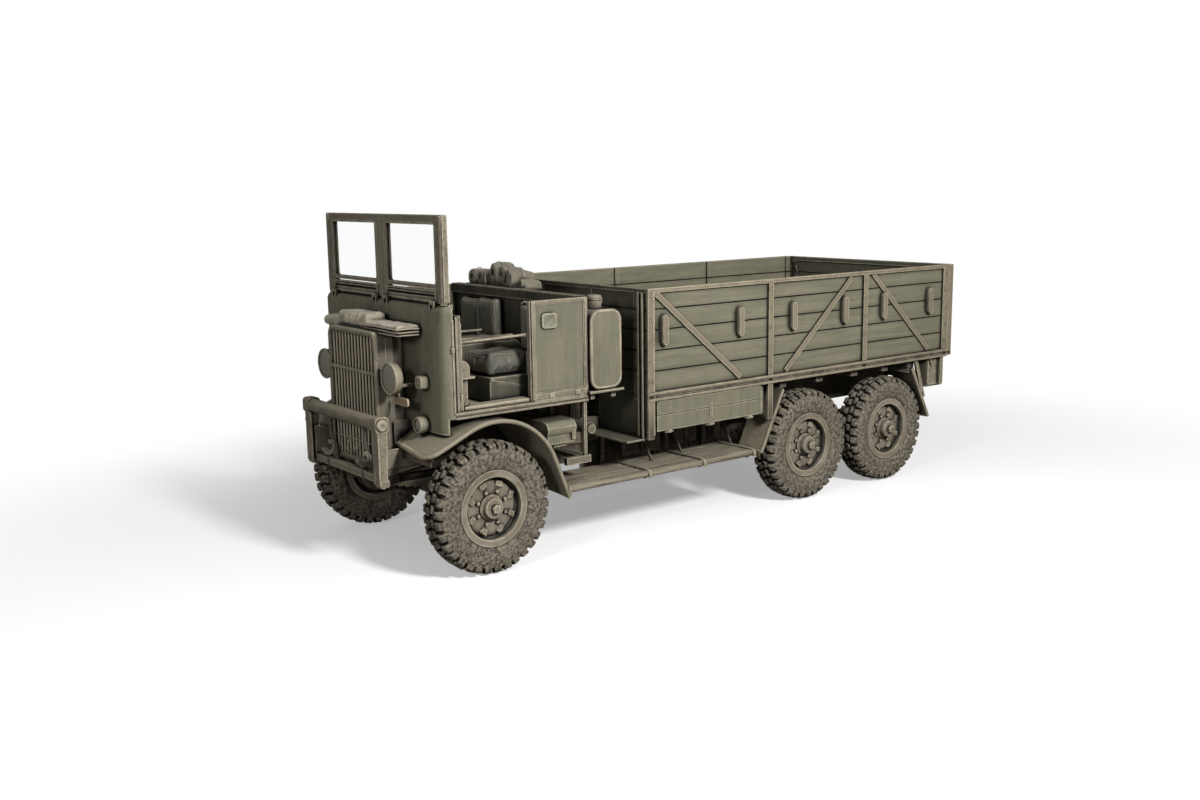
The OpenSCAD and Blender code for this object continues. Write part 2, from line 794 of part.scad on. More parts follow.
function wing_front_dir() = [sin(wing_front_angle), -cos(wing_front_angle)];
function wing_rear_dir() = [-sin(wing_rear_angle), cos(wing_rear_angle)];
function wing_path(r) = concat(
    [arc(wing_arc_x, wing_arc_z, r, wing_front_angle, wing_front_angle, 1)[0] + wing_front_l * wing_front_dir()],
    arc(wing_arc_x, wing_arc_z, r, wing_front_angle, wing_rear_angle, 18),
    [arc(wing_arc_x, wing_arc_z, r, wing_rear_angle, wing_rear_angle, 1)[0] + wing_rear_l * wing_rear_dir()]);
function backwards(v) = [for (i = [len(v) - 1:-1:0]) v[i]];

module front_wings() {
    color(olive) both_sides() {
        side_plate(wing_in_y, wing_out_y - 10)
            polygon(concat(wing_path(wing_arc_r), backwards(wing_path(wing_arc_r - wing_t))));
        // rolled outer edge
        side_plate(wing_out_y - 22, wing_out_y)
            polygon(concat(wing_path(wing_arc_r + 6), backwards(wing_path(wing_arc_r - 34))));
        // bracket to the side rail
        block([front_x - 120, rail_out, rail_top - 60], [front_x - 60, wing_in_y + 40, rail_top - 20]);
        side_plate(wing_in_y, wing_in_y + 12)
            polygon([[front_x - 130, rail_top - 70], [front_x - 50, rail_top - 70],
                     [front_x - 40, wing_arc_z + wing_arc_r - 8], [front_x - 140, wing_arc_z + wing_arc_r - 16]]);
    }
}

module running_boards() {
    x = [for (j = board_joints) board_front_x - j];
    color(wood_brown) both_sides() {
        for (i = [0:2])
            block([x[i + 1] + 5, board_in_y, board_top - board_t], [x[i] - 5, board_out_y - 20, board_top]);
        // rolled outer edge
        for (i = [0:2])
            bar_x(board_out_y - 22, board_top - 24, x[i + 1] + 5, x[i] - 5, 22);
        // ribs between the boards, and the hangers that carry them
        for (i = [0:3]) {
            xr = i == 0 ? x[0] - 24 : i == 3 ? x[3] + 24 : x[i];
            block([xr - 18, board_in_y - 6, board_top - board_t - 6], [xr + 18, board_out_y - 8, board_top + 8]);
            block([xr - 18, rail_out, board_top - board_t - 30], [xr + 18, board_out_y - 60, board_top - board_t]);
            block([xr - 18, rail_out, board_top - board_t - 30], [xr + 18, rail_out + 24, rail_z + 80]);
        }
    }
}

tail_box_x = side_rear_x + 52;
module mud_flaps() {
    color(olive) both_sides() {
        // plate ahead of the first rear wheel and plate behind the last
        side_plate(815, 1122)
            strip([mid_x + 406, bearer_z - 6], [mid_x + 676, board_top - 22], 12);
        side_plate(815, 1122)
            strip([rear_x - 320, bearer_z - 6], [rear_x - 597, 590], 12);
        // stay that braces the rear plate
        side_plate(1096, 1122)
            strip([rear_x - 360, body_floor_z - 14], [rear_x - 468, 862], 22);
        block([rear_x - 376, 1096, body_floor_z - 30], [rear_x - 342, 1122, body_floor_z]);
        // hangers to the body bearers
        block([mid_x + 390, 830, bearer_z - 60], [mid_x + 416, 1080, bearer_z]);
        block([rear_x - 336, 830, bearer_z - 60], [rear_x - 306, 1080, bearer_z]);
        // box at the tail corner, and the hanging post beside it
        block([tail_box_x, 940, 892], [tail_box_x + 210, side_in_y - 2, floor_z]);
        block([tail_box_x, side_in_y - 3, 912], [tail_box_x + 46, body_w / 2 - 4, body_floor_z]);
    }
}

// ---------------------------------------------------------------- cargo body

module cargo_floor() {
    color(wood_brown) difference() {
        block([side_rear_x, -side_in_y, floor_z], [body_front_x - 36, side_in_y, floor_top]);
        for (y = [-side_in_y + 180:180:side_in_y - 90])
            block([side_rear_x - lap, y - 3, floor_top - 6], [body_front_x, y + 3, floor_top + lap]);
    }
}

module floor_bearers() {
    color(wood_brown) {
        // cross bearers, short between the lockers and full width behind them
        for (d = [70, 520, 970, 1330])
            block([body_front_x - d - bearer_w, -locker_in_y + 8, bearer_z],
                  [body_front_x - d, locker_in_y - 8, floor_z]);
        for (d = [1640, 2140, 2640, 3100, 3500])
            block([body_front_x - d - bearer_w, -side_in_y + 12, bearer_z],
                  [body_front_x - d, side_in_y - 12, floor_z]);
        block([body_front_x - 3980, -930, bearer_z], [body_front_x - 3900, 930, floor_z]);
        // tail beam that carries the tailgate hinge pins
        block([side_rear_x, -side_in_y, body_floor_z - 8], [side_rear_x + 50, side_in_y, floor_z]);
        for (y = gate_hinge_ys) {
            bar_y(gate_pin_x, gate_pin_z, y - 55, y + 55, gate_pin_r);
            for (e = [-66, 48])
                lug([gate_pin_x - 14, y + e]);
        }
    }
}

// lug that holds one end of a tailgate pin
module lug(at) {
    block([at[0], at[1], gate_pin_z - 14], [side_rear_x + 30, at[1] + 18, gate_pin_z + 14]);
    block([side_rear_x, at[1], gate_pin_z - 14], [side_rear_x + 30, at[1] + 18, body_floor_z]);
}

module cargo_front_wall() {
    x0 = body_front_x - 36;
    wall_y = side_y - lap;
    color(olive) {
        difference() {
            block([x0, -wall_y, body_floor_z], [body_front_x - 8, wall_y, body_top]);
            for (i = [1:plank_count - 1])
                block([x0 - lap, -side_y - lap, plank_z + i * plank_h - groove / 2],
                      [x0 + 5, side_y + lap, plank_z + i * plank_h + groove / 2]);
        }
        // edge rails and upright ribs on the front face
        block([x0, -wall_y, body_top - 34], [body_front_x, wall_y, body_top]);
        for (y = [-side_y + 150, -360, 360, side_y - 150])
            block([body_front_x - 9, y - 20, body_floor_z], [body_front_x, y + 20, body_top - 20]);
        // skirt in front of each locker, with a tray at its foot
        both_sides() {
            block([x0, rail_out + 20, locker_z - 44], [body_front_x - 8, wall_y, body_floor_z + lap]);
            block([x0, rail_out + 20, locker_z - 58], [body_front_x + 190, side_y - 40, locker_z - 43]);
        }
    }
}

// diagonal brace of a side, on the outer face of the planks
module brace(x0, z0, x1, z1) {
    side_plate(side_y - 2, side_y + 14) strip([x0, z0], [x1, z1], 52);
}

// rope cleat: a rounded upright bar standing off the planks
cleat_z = 1666;
cleat_h = 252;
module cleat(x) {
    side_plate(side_y - 2, side_y + 50) translate([x - 30, cleat_z]) rounded(60, cleat_h, 28);
}

// a full-height side, drawn for the left
module cargo_side() {
    out = body_w / 2;
    top_band = 34;
    post_xs = [body_front_x - post_w, bay_1_x - post_w / 2, bay_2_x - post_w / 2];
    color(olive) {
        // planks with a groove at each joint, inside and out
        difference() {
            block([side_rear_x, side_in_y, body_floor_z], [body_front_x - 4, side_y, body_top]);
            for (i = [1:plank_count - 1]) for (y = [side_in_y - lap, side_y - 6])
                block([side_rear_x - lap, y, plank_z + i * plank_h - groove / 2],
                      [body_front_x, y + 6 + lap, plank_z + i * plank_h + groove / 2]);
            block([body_front_x - 36 - seat_gap, side_in_y - lap, body_floor_z - lap],
                  [body_front_x + lap, side_y, body_top + lap]);
        }
    }
    color(tan_edge) {
        // top rail and the two strips of the bottom rail
        block([side_rear_x, side_in_y, body_top - top_band], [body_front_x - 36 - seat_gap, out, body_top]);
        block([side_rear_x, side_y - lap, body_top - top_band], [body_front_x, out, body_top]);
        block([side_rear_x, side_y - lap, body_floor_z], [body_front_x, out, body_floor_z + 36]);
        block([side_rear_x, side_y - lap, body_floor_z + 42], [body_front_x, out, plank_z]);
        block([side_rear_x, side_y - lap, body_floor_z + 30], [body_front_x, out - 8, body_floor_z + 50]);
        // posts: front corner, two stanchions, tail corner
        for (x = post_xs)
            block([x, side_y - lap, body_floor_z], [x + post_w, out, body_top]);
        block([side_rear_x, side_y - lap, body_floor_z], [side_rear_x + 74, out, body_top]);
        block([side_rear_x, side_in_y - 14, floor_top + seat_gap], [side_rear_x + 74, side_in_y + lap, body_top]);
        // inner stiles behind the stanchions
        for (x = [bay_1_x, bay_2_x])
            block([x - 26, side_in_y - 16, floor_top + seat_gap], [x + 26, side_in_y + lap, body_top]);
        // legs of the front post and first stanchion, down over the locker
        for (x = [post_xs[0], post_xs[1]])
            block([x, side_y - 1, locker_z - 48], [x + post_w, out, body_floor_z + lap]);
        brace(body_front_x - 75, body_top - 26, body_front_x - 1080, plank_z + 24);
        brace(body_front_x - 2560, body_top - 44, body_front_x - 1655, plank_z + 20);
        brace(body_front_x - 2865, body_top - 30, body_front_x - 3745, plank_z + 28);
        for (d = [172, 1060, 1738, 2446, 3020, 3736]) cleat(body_front_x - d);
    }
}

module cargo_side_left() {
    cargo_side();
}

module cargo_side_right() {
    mirror([0, 1, 0]) cargo_side();
}

gate_pin_x = body_rear_x + gate_t / 2 + 4;
gate_pin_z = body_floor_z - 34;
gate_pin_r = 12;
gate_hinge_ys = [-760, 0, 760];
module tailgate() {
    x1 = body_rear_x + gate_t;
    half = body_w / 2;
    z0 = body_floor_z + 8;
    eye_r = 22;
    color(olive) {
        difference() {
            block([body_rear_x + 10, -half + 20, z0], [x1 - 14, half - 20, body_top]);
            for (i = [1:plank_count - 1]) for (x = [body_rear_x + 9, x1 - 19])
                block([x, -half, plank_z + i * plank_h - groove / 2],
                      [x + 6, half, plank_z + i * plank_h + groove / 2]);
        }
        // edge frame
        for (z = [z0, body_top - 44]) block([body_rear_x, -half + 2, z], [x1, half - 2, z + 44]);
        both_sides() block([body_rear_x, half - 66, z0], [x1, half - 2, body_top]);
    }
    color(tan_edge) {
        // straps that carry the hinge eyes
        for (y = gate_hinge_ys) difference() {
            union() {
                block([body_rear_x - strap_t, y - 34, gate_pin_z], [body_rear_x + 11, y + 34, body_top - 190]);
                block([body_rear_x - strap_t, y - 34, gate_pin_z - eye_r], [gate_pin_x, y + 34, gate_pin_z + eye_r]);
                bar_y(gate_pin_x, gate_pin_z, y - 34, y + 34, eye_r);
            }
            bar_y(gate_pin_x, gate_pin_z, y - 36, y + 36, gate_pin_r + running_clearance);
        }
        // chain eyes near the top corners
        for (y = [-half + 150, half - 150])
            block([body_rear_x - 14, y - 26, body_top - 150], [body_rear_x + 11, y + 26, body_top - 90]);
    }
}

// ---------------------------------------------------------------- lockers

flap_x1 = body_front_x - 36 - 62;
flap_x0 = flap_x1 - flap_l;
flap_pin_y = body_w / 2 - 12;
flap_pin_z = locker_z - 4;
flap_hinge_xs = [flap_x0 + 140, (flap_x0 + flap_x1) / 2, flap_x1 - 140];
module side_lockers() {
    x1 = body_front_x - 36;
    x0 = x1 - locker_l;
    out_y = body_w / 2 - post_proud - flap_t - move_gap;
    color(olive) both_sides() {
        difference() {
            block([x0, locker_in_y, locker_z], [x1, out_y, floor_z]);
            block([x0 + locker_skin, locker_in_y + locker_skin, locker_z + locker_skin],
                  [x1 - locker_skin, out_y + lap, floor_z - locker_skin]);
        }
        // hinge pins of the flap
        for (x = flap_hinge_xs) {
            bar_x(flap_pin_y, flap_pin_z, x - 34, x + 34, flap_pin_r);
            for (e = [-42, 30]) {
                block([x + e, out_y - 30, flap_pin_z - flap_lug_r], [x + e + 12, flap_pin_y, flap_pin_z + flap_lug_r]);
                bar_x(flap_pin_y, flap_pin_z, x + e, x + e + 12, flap_lug_r);
            }
            block([x - 42, out_y - 30, flap_pin_z - 10], [x + 42, out_y - 6, locker_z + lap]);
        }
        // bearers from the side rail to the locker
        for (x = [x0 + 160, x1 - 240])
            block([x, rail_out, locker_z - 6], [x + 60, locker_in_y + lap, locker_z + 60]);
    }
}

// drop-down flap that closes a locker, drawn for the left
module locker_flap() {
    y1 = body_w / 2 - 6;
    y0 = y1 - flap_t;
    z0 = flap_pin_z + flap_lug_r + move_gap;
    color(olive) {
        difference() {
            block([flap_x0, y0, z0], [flap_x1, y1, body_floor_z - move_gap]);
            block([flap_x0 - lap, y1 - 5, z0 + 136], [flap_x1 + lap, y1 + lap, z0 + 136 + groove]);
        }
        // hinge eyes
        for (x = flap_hinge_xs) difference() {
            union() {
                bar_x(flap_pin_y, flap_pin_z, x - 22, x + 22, flap_pin_r + 7);
                block([x - 22, flap_pin_y - 7, flap_pin_z], [x + 22, y1, z0 + lap]);
            }
            bar_x(flap_pin_y, flap_pin_z, x - 24, x + 24, flap_pin_r + running_clearance);
        }
        // upright grip
        side_plate(y1 - lap, y1 + 5)
            translate([(flap_x0 + flap_x1) / 2 - 18, z0 + 60]) rounded(36, 120, 8);
    }
}

module locker_flap_left() {
    locker_flap();
}

module locker_flap_right() {
    mirror([0, 1, 0]) locker_flap();
}

// ---------------------------------------------------------------- lamps

module lamp(x, y, z, r, depth) {
    bar_x(y, z, x - depth, x, r);
    translate([x - depth, y, z]) rotate([0, -90, 0]) cylinder(h = depth * 0.35, r1 = r, r2 = r * 0.55, $fn = bore_fn);
    bar_x(y, z, x, x + 10, r * 0.9);
}

headlamp_r = 122;
module lamps() {
    color(tan_edge) {
        both_sides() {
            // headlamp on a bracket from the front panel
            lamp(front_x + 592, 554, 1559, headlamp_r, 74);
            block([cab_front_x, 540, 1480], [front_x + 566, 568, 1504]);
            block([front_x + 520, 540, 1503], [front_x + 560, 568, 1559 - headlamp_r + 20]);
            // square side lamp and low round lamp
            front_plate(cab_front_x, cab_front_x + 66)
                translate([664, 1478]) rounded(96, 96, 26);
            bar_x(688, 1192, cab_front_x, cab_front_x + 70, 62);
        }
        // marker plate below the left headlamp
        front_plate(cab_front_x, cab_front_x + 12)
            polygon([[412, 1326], [424, 1304], [520, 1304], [520, 1376], [424, 1376], [412, 1350]]);
        // tail lamps on the boxes at the tail
        both_sides() bar_x(1010, 1020, tail_box_x - 50, tail_box_x, 42);
    }
}

// ---------------------------------------------------------------- running gear

module axle_casing(x) {
    bar_y(x, axle_z, -kingpin_y - 55, kingpin_y + 55, 62);
    both_sides() bar_y(x, axle_z, kingpin_y + 54, wheel_y + 20, rear_spindle_d / 2);
    // worm gear housing and its top cover
    translate([x, 0, axle_z]) scale([1, 1, 1]) sphere(r = 172, $fn = 40);
    block([x - 130, -90, axle_z + 60], [x + 130, 90, axle_z + 235]);
    // spring seats
    both_sides() block([x - 60, rail_in + 4, axle_z - 40], [x + 60, rail_out - 4, axle_z + 82]);
}

module bogie_axles() {
    color(dark_steel) {
        axle_casing(mid_x);
        axle_casing(rear_x);
    }
}

// leaf pack lying along X, longest leaf on top
module leaf_pack(x, z, length, leaves) {
    for (i = [0:leaves - 1])
        block([x - length / 2 * (1 - i / (leaves + 1)), rail_in + 10, z - 15 * (i + 1)],
              [x + length / 2 * (1 - i / (leaves + 1)), rail_out - 10, z - 15 * i + 0.1]);
}

module leaf_springs() {
    bogie_spring_z = axle_z + 82 + 16 * 7;
    front_spring_z = axle_z + 60 + 15 * 7;
    color(dark_steel) {
        both_sides() {
            // front springs on the axle beam, with end hangers
            leaf_pack(front_x, front_spring_z, 1100, 7);
            for (x = [front_x - 540, front_x + 470])
                block([x, rail_in + 14, front_spring_z - 12], [x + 60, rail_out - 14, rail_z]);
            // bogie springs pivoted at the middle of the bogie
            difference() {
                block([rear_x - 120, rail_in + 10, axle_z + 82], [mid_x + 120, rail_out - 10, axle_z + 98]);
                block([rear_x - 121, rail_in, axle_z + 60], [rear_x - 120.5, rail_out, axle_z + 70]);
            }
            for (i = [1:7])
                block([bogie_x - 600 + i * 72, rail_in + 10, axle_z + 81 + 16 * i],
                      [bogie_x + 600 - i * 72, rail_out - 10, axle_z + 98 + 16 * i]);
            block([bogie_x - 70, rail_in + 6, axle_z + 30], [bogie_x + 70, rail_out - 6, rail_z]);
        }
        // trunnion tube of the bogie
        bar_y(bogie_x, axle_z + 50, -rail_out - 40, rail_out + 40, 46);
    }
}

module front_axle() {
    color(dark_steel) difference() {
        union() {
            front_plate(front_x - 38, front_x + 38)
                polygon([[-700, axle_z + 40], [-640, axle_z + 60], [640, axle_z + 60], [700, axle_z + 40],
                         [700, axle_z - 40], [620, axle_z - 50], [-620, axle_z - 50], [-700, axle_z - 40]]);
            both_sides() {
                block([front_x - 34, 690, axle_z - 40], [front_x + 34, kingpin_y, axle_z + 40]);
                translate([front_x, kingpin_y, axle_z - kingpin_boss_h / 2])
                    cylinder(h = kingpin_boss_h, r = 40, $fn = bore_fn);
            }
        }
        both_sides()
            translate([front_x, kingpin_y, axle_z - kingpin_boss_h])
                cylinder(h = 2 * kingpin_boss_h, r = kingpin_d / 2 + running_clearance, $fn = bore_fn);
    }
}

// steering knuckle, drawn for the left: yoke, kingpin, spindle and track arm
module knuckle() {
    ear_t = 34;
    ear_gap = 5;
    top = kingpin_boss_h / 2 + ear_gap;
    color(dark_steel) {
        translate([front_x, kingpin_y, axle_z - top - ear_t])
            cylinder(h = 2 * (top + ear_t), r = kingpin_d / 2, $fn = bore_fn);
        for (z = [axle_z + top, axle_z - top - ear_t]) {
            translate([front_x, kingpin_y, z]) cylinder(h = ear_t, r = 40, $fn = bore_fn);
            block([front_x - 38, kingpin_y, z], [front_x + 38, kingpin_y + 80, z + ear_t]);
        }
        block([front_x - 38, kingpin_y + 48, axle_z - top - ear_t], [front_x + 38, kingpin_y + 80, axle_z + top + ear_t]);
        bar_y(front_x, axle_z, kingpin_y + 79, wheel_y + 20, front_spindle_d / 2);
        // track arm that reaches back to the tie rod pin
        block([front_x - arm_l, kingpin_y - 16, rod_z - 34], [front_x - 20, kingpin_y + 16, rod_z - 12]);
        block([front_x - 40, kingpin_y - 16, rod_z - 34], [front_x - 20, kingpin_y + 16, axle_z - top]);
        translate([front_x - arm_l, kingpin_y, rod_z - 34]) cylinder(h = 22, r = 26, $fn = bore_fn);
        translate([front_x - arm_l, kingpin_y, rod_z - 13]) cylinder(h = 47, r = rod_pin_d / 2, $fn = bore_fn);
    }
}

module knuckle_left() {
    knuckle();
}

module knuckle_right() {
    mirror([0, 1, 0]) knuckle();
}

// tie rod between the two track arms; its right eye is the wider one
module tie_rod() {
    x = front_x - arm_l;
    eye_z = rod_z - 10;
    color(dark_steel) difference() {
        union() {
            bar_y(x, rod_z + 4, -kingpin_y + 10, kingpin_y - 10, 15);
            for (y = [-kingpin_y, kingpin_y])
                translate([x, y, eye_z]) cylinder(h = 30, r = 25, $fn = bore_fn);
        }
        translate([x, kingpin_y, eye_z - 5])
            cylinder(h = 40, r = rod_pin_d / 2 + running_clearance, $fn = bore_fn);
        translate([x, -kingpin_y, eye_z - 5])
            cylinder(h = 40, r = rod_pin_d / 2 + 1, $fn = bore_fn);
    }
}

module propeller_shafts() {
    color(dark_steel) {
        bar_x(0, 780, mid_x + 130, cab_back_x - 180, 38);
        bar_x(0, 740, rear_x + 130, mid_x - 130, 34);
        bar_x(0, 780, cab_back_x - 220, cab_back_x - 180, 60);
        bar_x(0, 740, rear_x + 130, rear_x + 170, 60);
    }
}

module exhaust() {
    y = -rail_out - 112;
    color(dark_steel) {
        bar_x(y, 700, front_x - 2600, front_x - 1500, 72);
        bar_x(y, 700, front_x - 1501, front_x - 900, 24);
        bar_x(y, 700, front_x - 3000, front_x - 2599, 24);
        for (x = [front_x - 1640, front_x - 2500])
            block([x, y - 10, 760], [x + 24, -rail_out, 800]);
    }
}

// wheel centre drawn at the front left, hub outwards along +Y
module wheel_profile(spindle_d, hub_out) {
    w = tyre_w / 2;
    difference() {
        union() {
            // rim barrel with its two flanges
            translate([250, -w + 34]) square([20, 2 * w - 68]);
            translate([250, w - 46]) square([rim_d / 2 - 250, 16]);
            translate([250, -w + 30]) square([rim_d / 2 - 250, 16]);
            // dished disc
            translate([90, 6]) square([170, 16]);
            translate([196, 6]) square([62, 30]);
            // hub barrel
            translate([0, -100]) square([74, 100 + hub_out - 40]);
            translate([0, hub_out - 41]) square([52, 41]);
            translate([60, -20]) square([56, 62]);
            // brake drum
            translate([60, -112]) square([drum_d / 2 - 60, 90]);
        }
        translate([-lap, -120]) square([spindle_d / 2 + running_clearance + lap, 120 + 22]);
    }
}

module wheel(x, side, spindle_d, hub_out) {
    holes = 8;
    color(dusty_tyre) difference() {
        translate([x, side * wheel_y, axle_z])
            rotate([side > 0 ? -90 : 90, 0, 0])
                rotate_extrude($fn = 96) wheel_profile(spindle_d, hub_out);
        for (i = [0:holes - 1])
            translate([x, side * wheel_y, axle_z])
                rotate([side > 0 ? -90 : 90, 0, 0]) rotate([0, 0, i * 360 / holes + 22.5])
                    translate([156, 0, -10]) cylinder(h = 60, r = 24, $fn = bore_fn);
    }
}

module tyre_profile() {
    w = tyre_w / 2;
    r = tyre_d / 2;
    flange_r = rim_d / 2 + 2;
    seat_w = w - 46 - seat_gap;
    polygon([[270 + seat_gap, -seat_w], [flange_r, -seat_w], [flange_r, -w + 30],
             [rim_d / 2 + 70, -w + 2], [r - 90, -w], [r - 34, -w + 10], [r, -w + 26],
             [r, w - 26], [r - 34, w - 10], [r - 90, w], [rim_d / 2 + 70, w - 2],
             [flange_r, w - 30], [flange_r, seat_w], [270 + seat_gap, seat_w]]);
}

module tyre(x, side) {
    color(dusty_tyre)
        translate([x, side * wheel_y, axle_z])
            rotate([side > 0 ? -90 : 90, 0, 0])
                rotate_extrude($fn = 96) tyre_profile();
}

front_hub = 118;
rear_hub = 92;

side_rails();
cross_members();
cab_mounts();
front_bumper();
radiator();
radiator_muff();
cab_front_panel();
cab_floor();
cab_side_panels();
cab_rear_wall();
cowl_boards();
windscreen_frame();
windscreen_glass();
dashboard();
steering_wheel();
seat_frames();
seat_cushions();
seat_backs();
engine_cover();
engine();
folded_hood();
fuel_tank();
tank_carrier();
battery_boxes();
front_wings();
running_boards();
cargo_floor();
floor_bearers();
cargo_front_wall();
cargo_side_left();
cargo_side_right();
tailgate();
side_lockers();
locker_flap_left();
locker_flap_right();
mud_flaps();
lamps();
propeller_shafts();
exhaust();
front_axle();
leaf_springs();
knuckle_left();
knuckle_right();
tie_rod();
bogie_axles();
wheel(front_x, 1, front_spindle_d, front_hub);  // wheel_front_left
wheel(front_x, -1, front_spindle_d, front_hub);  // wheel_front_right
wheel(mid_x, 1, rear_spindle_d, rear_hub);  // wheel_mid_left
wheel(mid_x, -1, rear_spindle_d, rear_hub);  // wheel_mid_right
wheel(rear_x, 1, rear_spindle_d, rear_hub);  // wheel_rear_left
wheel(rear_x, -1, rear_spindle_d, rear_hub);  // wheel_rear_right
tyre(front_x, 1);  // tyre_front_left
tyre(front_x, -1);  // tyre_front_right
tyre(mid_x, 1);  // tyre_mid_left
tyre(mid_x, -1);  // tyre_mid_right
tyre(rear_x, 1);  // tyre_rear_left
tyre(rear_x, -1);  // tyre_rear_right
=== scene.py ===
"""Looks of an open-cab six-wheeled cargo truck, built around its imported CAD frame."""
import math
import random

import bmesh
import bpy
from mathutils import Matrix, Vector


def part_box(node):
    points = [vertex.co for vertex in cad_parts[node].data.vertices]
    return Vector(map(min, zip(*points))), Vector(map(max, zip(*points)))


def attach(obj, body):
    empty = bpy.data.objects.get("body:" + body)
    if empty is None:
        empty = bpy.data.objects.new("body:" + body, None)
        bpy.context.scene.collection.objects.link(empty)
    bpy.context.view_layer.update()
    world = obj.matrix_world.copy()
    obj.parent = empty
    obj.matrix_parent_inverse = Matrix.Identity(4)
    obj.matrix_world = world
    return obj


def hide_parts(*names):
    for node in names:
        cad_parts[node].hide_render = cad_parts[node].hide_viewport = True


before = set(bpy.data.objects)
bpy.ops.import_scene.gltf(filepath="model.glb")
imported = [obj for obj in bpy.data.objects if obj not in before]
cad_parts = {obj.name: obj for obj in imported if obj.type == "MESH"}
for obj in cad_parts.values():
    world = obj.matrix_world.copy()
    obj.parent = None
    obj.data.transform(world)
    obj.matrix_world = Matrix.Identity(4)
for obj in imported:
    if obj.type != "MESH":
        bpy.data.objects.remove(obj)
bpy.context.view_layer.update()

# ---------------------------------------------------------------- sizes read from the frame

WHEELS = ["front_left", "front_right", "mid_left", "mid_right", "rear_left", "rear_right"]
TYRE_BOX = {wheel: [Vector(corner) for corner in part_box("tyre_" + wheel)] for wheel in WHEELS}
HUB = {wheel: (low + high) / 2 for wheel, (low, high) in TYRE_BOX.items()}
AXLE_Z = HUB["front_left"].z
FRONT_X = HUB["front_left"].x
FRONT, REAR, LEFT, UP, DOWN = (1, 0, 0), (-1, 0, 0), (0, 1, 0), (0, 0, 1), (0, 0, -1)
PLANK_Z = 1.274
RAIL_GROOVE_Z = 1.233
PLANK_H = (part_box("cargo_side_left")[1][2] - PLANK_Z) / 5

# ---------------------------------------------------------------- colours (linear)

OLIVE = (0.2, 0.19, 0.13)
OLIVE_DARK = (0.125, 0.121, 0.084)
TAN = (0.7, 0.615, 0.455)
BROWN = (0.165, 0.132, 0.092)
RUSTY = (0.268, 0.23, 0.162)
OCHRE = (0.42, 0.285, 0.15)
# Near-black for pits, dark joints, and painted shade in corners, hollows and on faces turned from the light.
DIRT_AND_SHADE = (0.007, 0.007, 0.005)
DUST = (0.275, 0.24, 0.175)
IRON = (0.06, 0.056, 0.045)
TYRE = (0.15, 0.132, 0.105)
HIDE = (0.088, 0.087, 0.07)
CANVAS = (0.185, 0.17, 0.125)
BOARD = (0.19, 0.16, 0.112)
FLOOR_SEEN = (0.95, 0.95, 0.94)
FLOOR_BOUNCE = (0.15, 0.145, 0.13)
FLOOR_GLOW = 0.34


# ---------------------------------------------------------------- node helpers

def add(tree, kind, settings=None, **inputs):
    """Adds a node; each input is a value or a socket, named as on the node."""
    made = tree.nodes.new("ShaderNode" + kind)
    for name, value in (settings or {}).items():
        setattr(made, name, value)
    for name, value in inputs.items():
        put(tree, value, made.inputs[name.replace("_", " ")])
    return made


def put(tree, value, socket):
    if isinstance(value, bpy.types.NodeSocket):
        tree.links.new(value, socket)
    elif value is not None:
        socket.default_value = value


def calc(tree, operation, a, b=None, clamp=False):
    made = tree.nodes.new("ShaderNodeMath")
    made.operation = operation
    made.use_clamp = clamp
    put(tree, a, made.inputs[0])
    put(tree, b, made.inputs[1])
    return made.outputs[0]


def times(tree, a, b, clamp=False):
    return calc(tree, "MULTIPLY", a, b, clamp)


def blend(tree, factor, a, b):
    made = tree.nodes.new("ShaderNodeMix")
    made.data_type = "RGBA"
    for value, index in ((factor, 0), (a, 6), (b, 7)):
        if isinstance(value, tuple):
            value = (*value, 1.0)
        put(tree, value, made.inputs[index])
    return made.outputs[2]


def stain(tree, colour, mask, amount, over):
    """Lays a second colour over the first, where the mask is, at the given strength."""
    return blend(tree, times(tree, mask, amount), colour, over)


def here(tree, kind="Object"):
    """The shaded point in the truck's frame, or the direction that it faces."""
    return add(tree, "TexCoord").outputs[kind]


def coordinate(tree, axis, kind="Object"):
    """One coordinate of the shaded point, or of the direction that it faces."""
    return add(tree, "SeparateXYZ", None, Vector=here(tree, kind)).outputs[axis]


def ramp(tree, value, low, high, to_low=0.0, to_high=1.0):
    made = add(tree, "MapRange", {"interpolation_type": "SMOOTHSTEP"}, Value=value,
               From_Min=low, From_Max=high, To_Min=to_low, To_Max=to_high)
    return made.outputs[0]


def noise(tree, vector, scale, detail=3.0, rough=0.55, distortion=0.0):
    made = add(tree, "TexNoise", None, Vector=vector, Scale=scale, Detail=detail,
               Roughness=rough, Distortion=distortion)
    return made.outputs[0]


def new_group(name, inputs, outputs):
    tree = bpy.data.node_groups.new(name, "ShaderNodeTree")
    for label, value in inputs.items():
        kind = "NodeSocketVector" if isinstance(value, tuple) else "NodeSocketFloat"
        socket = tree.interface.new_socket(label, in_out="INPUT", socket_type=kind)
        socket.default_value = value
    for label in outputs:
        tree.interface.new_socket(label, in_out="OUTPUT", socket_type="NodeSocketFloat")
    start = tree.nodes.new("NodeGroupInput")
    end = tree.nodes.new("NodeGroupOutput")
    return tree, start.outputs, end.inputs


def use_group(tree, group, **inputs):
    made = tree.nodes.new("ShaderNodeGroup")
    made.node_tree = group
    for name, value in inputs.items():
        put(tree, value, made.inputs[name.replace("_", " ")])
    return made.outputs


# ---------------------------------------------------------------- shared effects

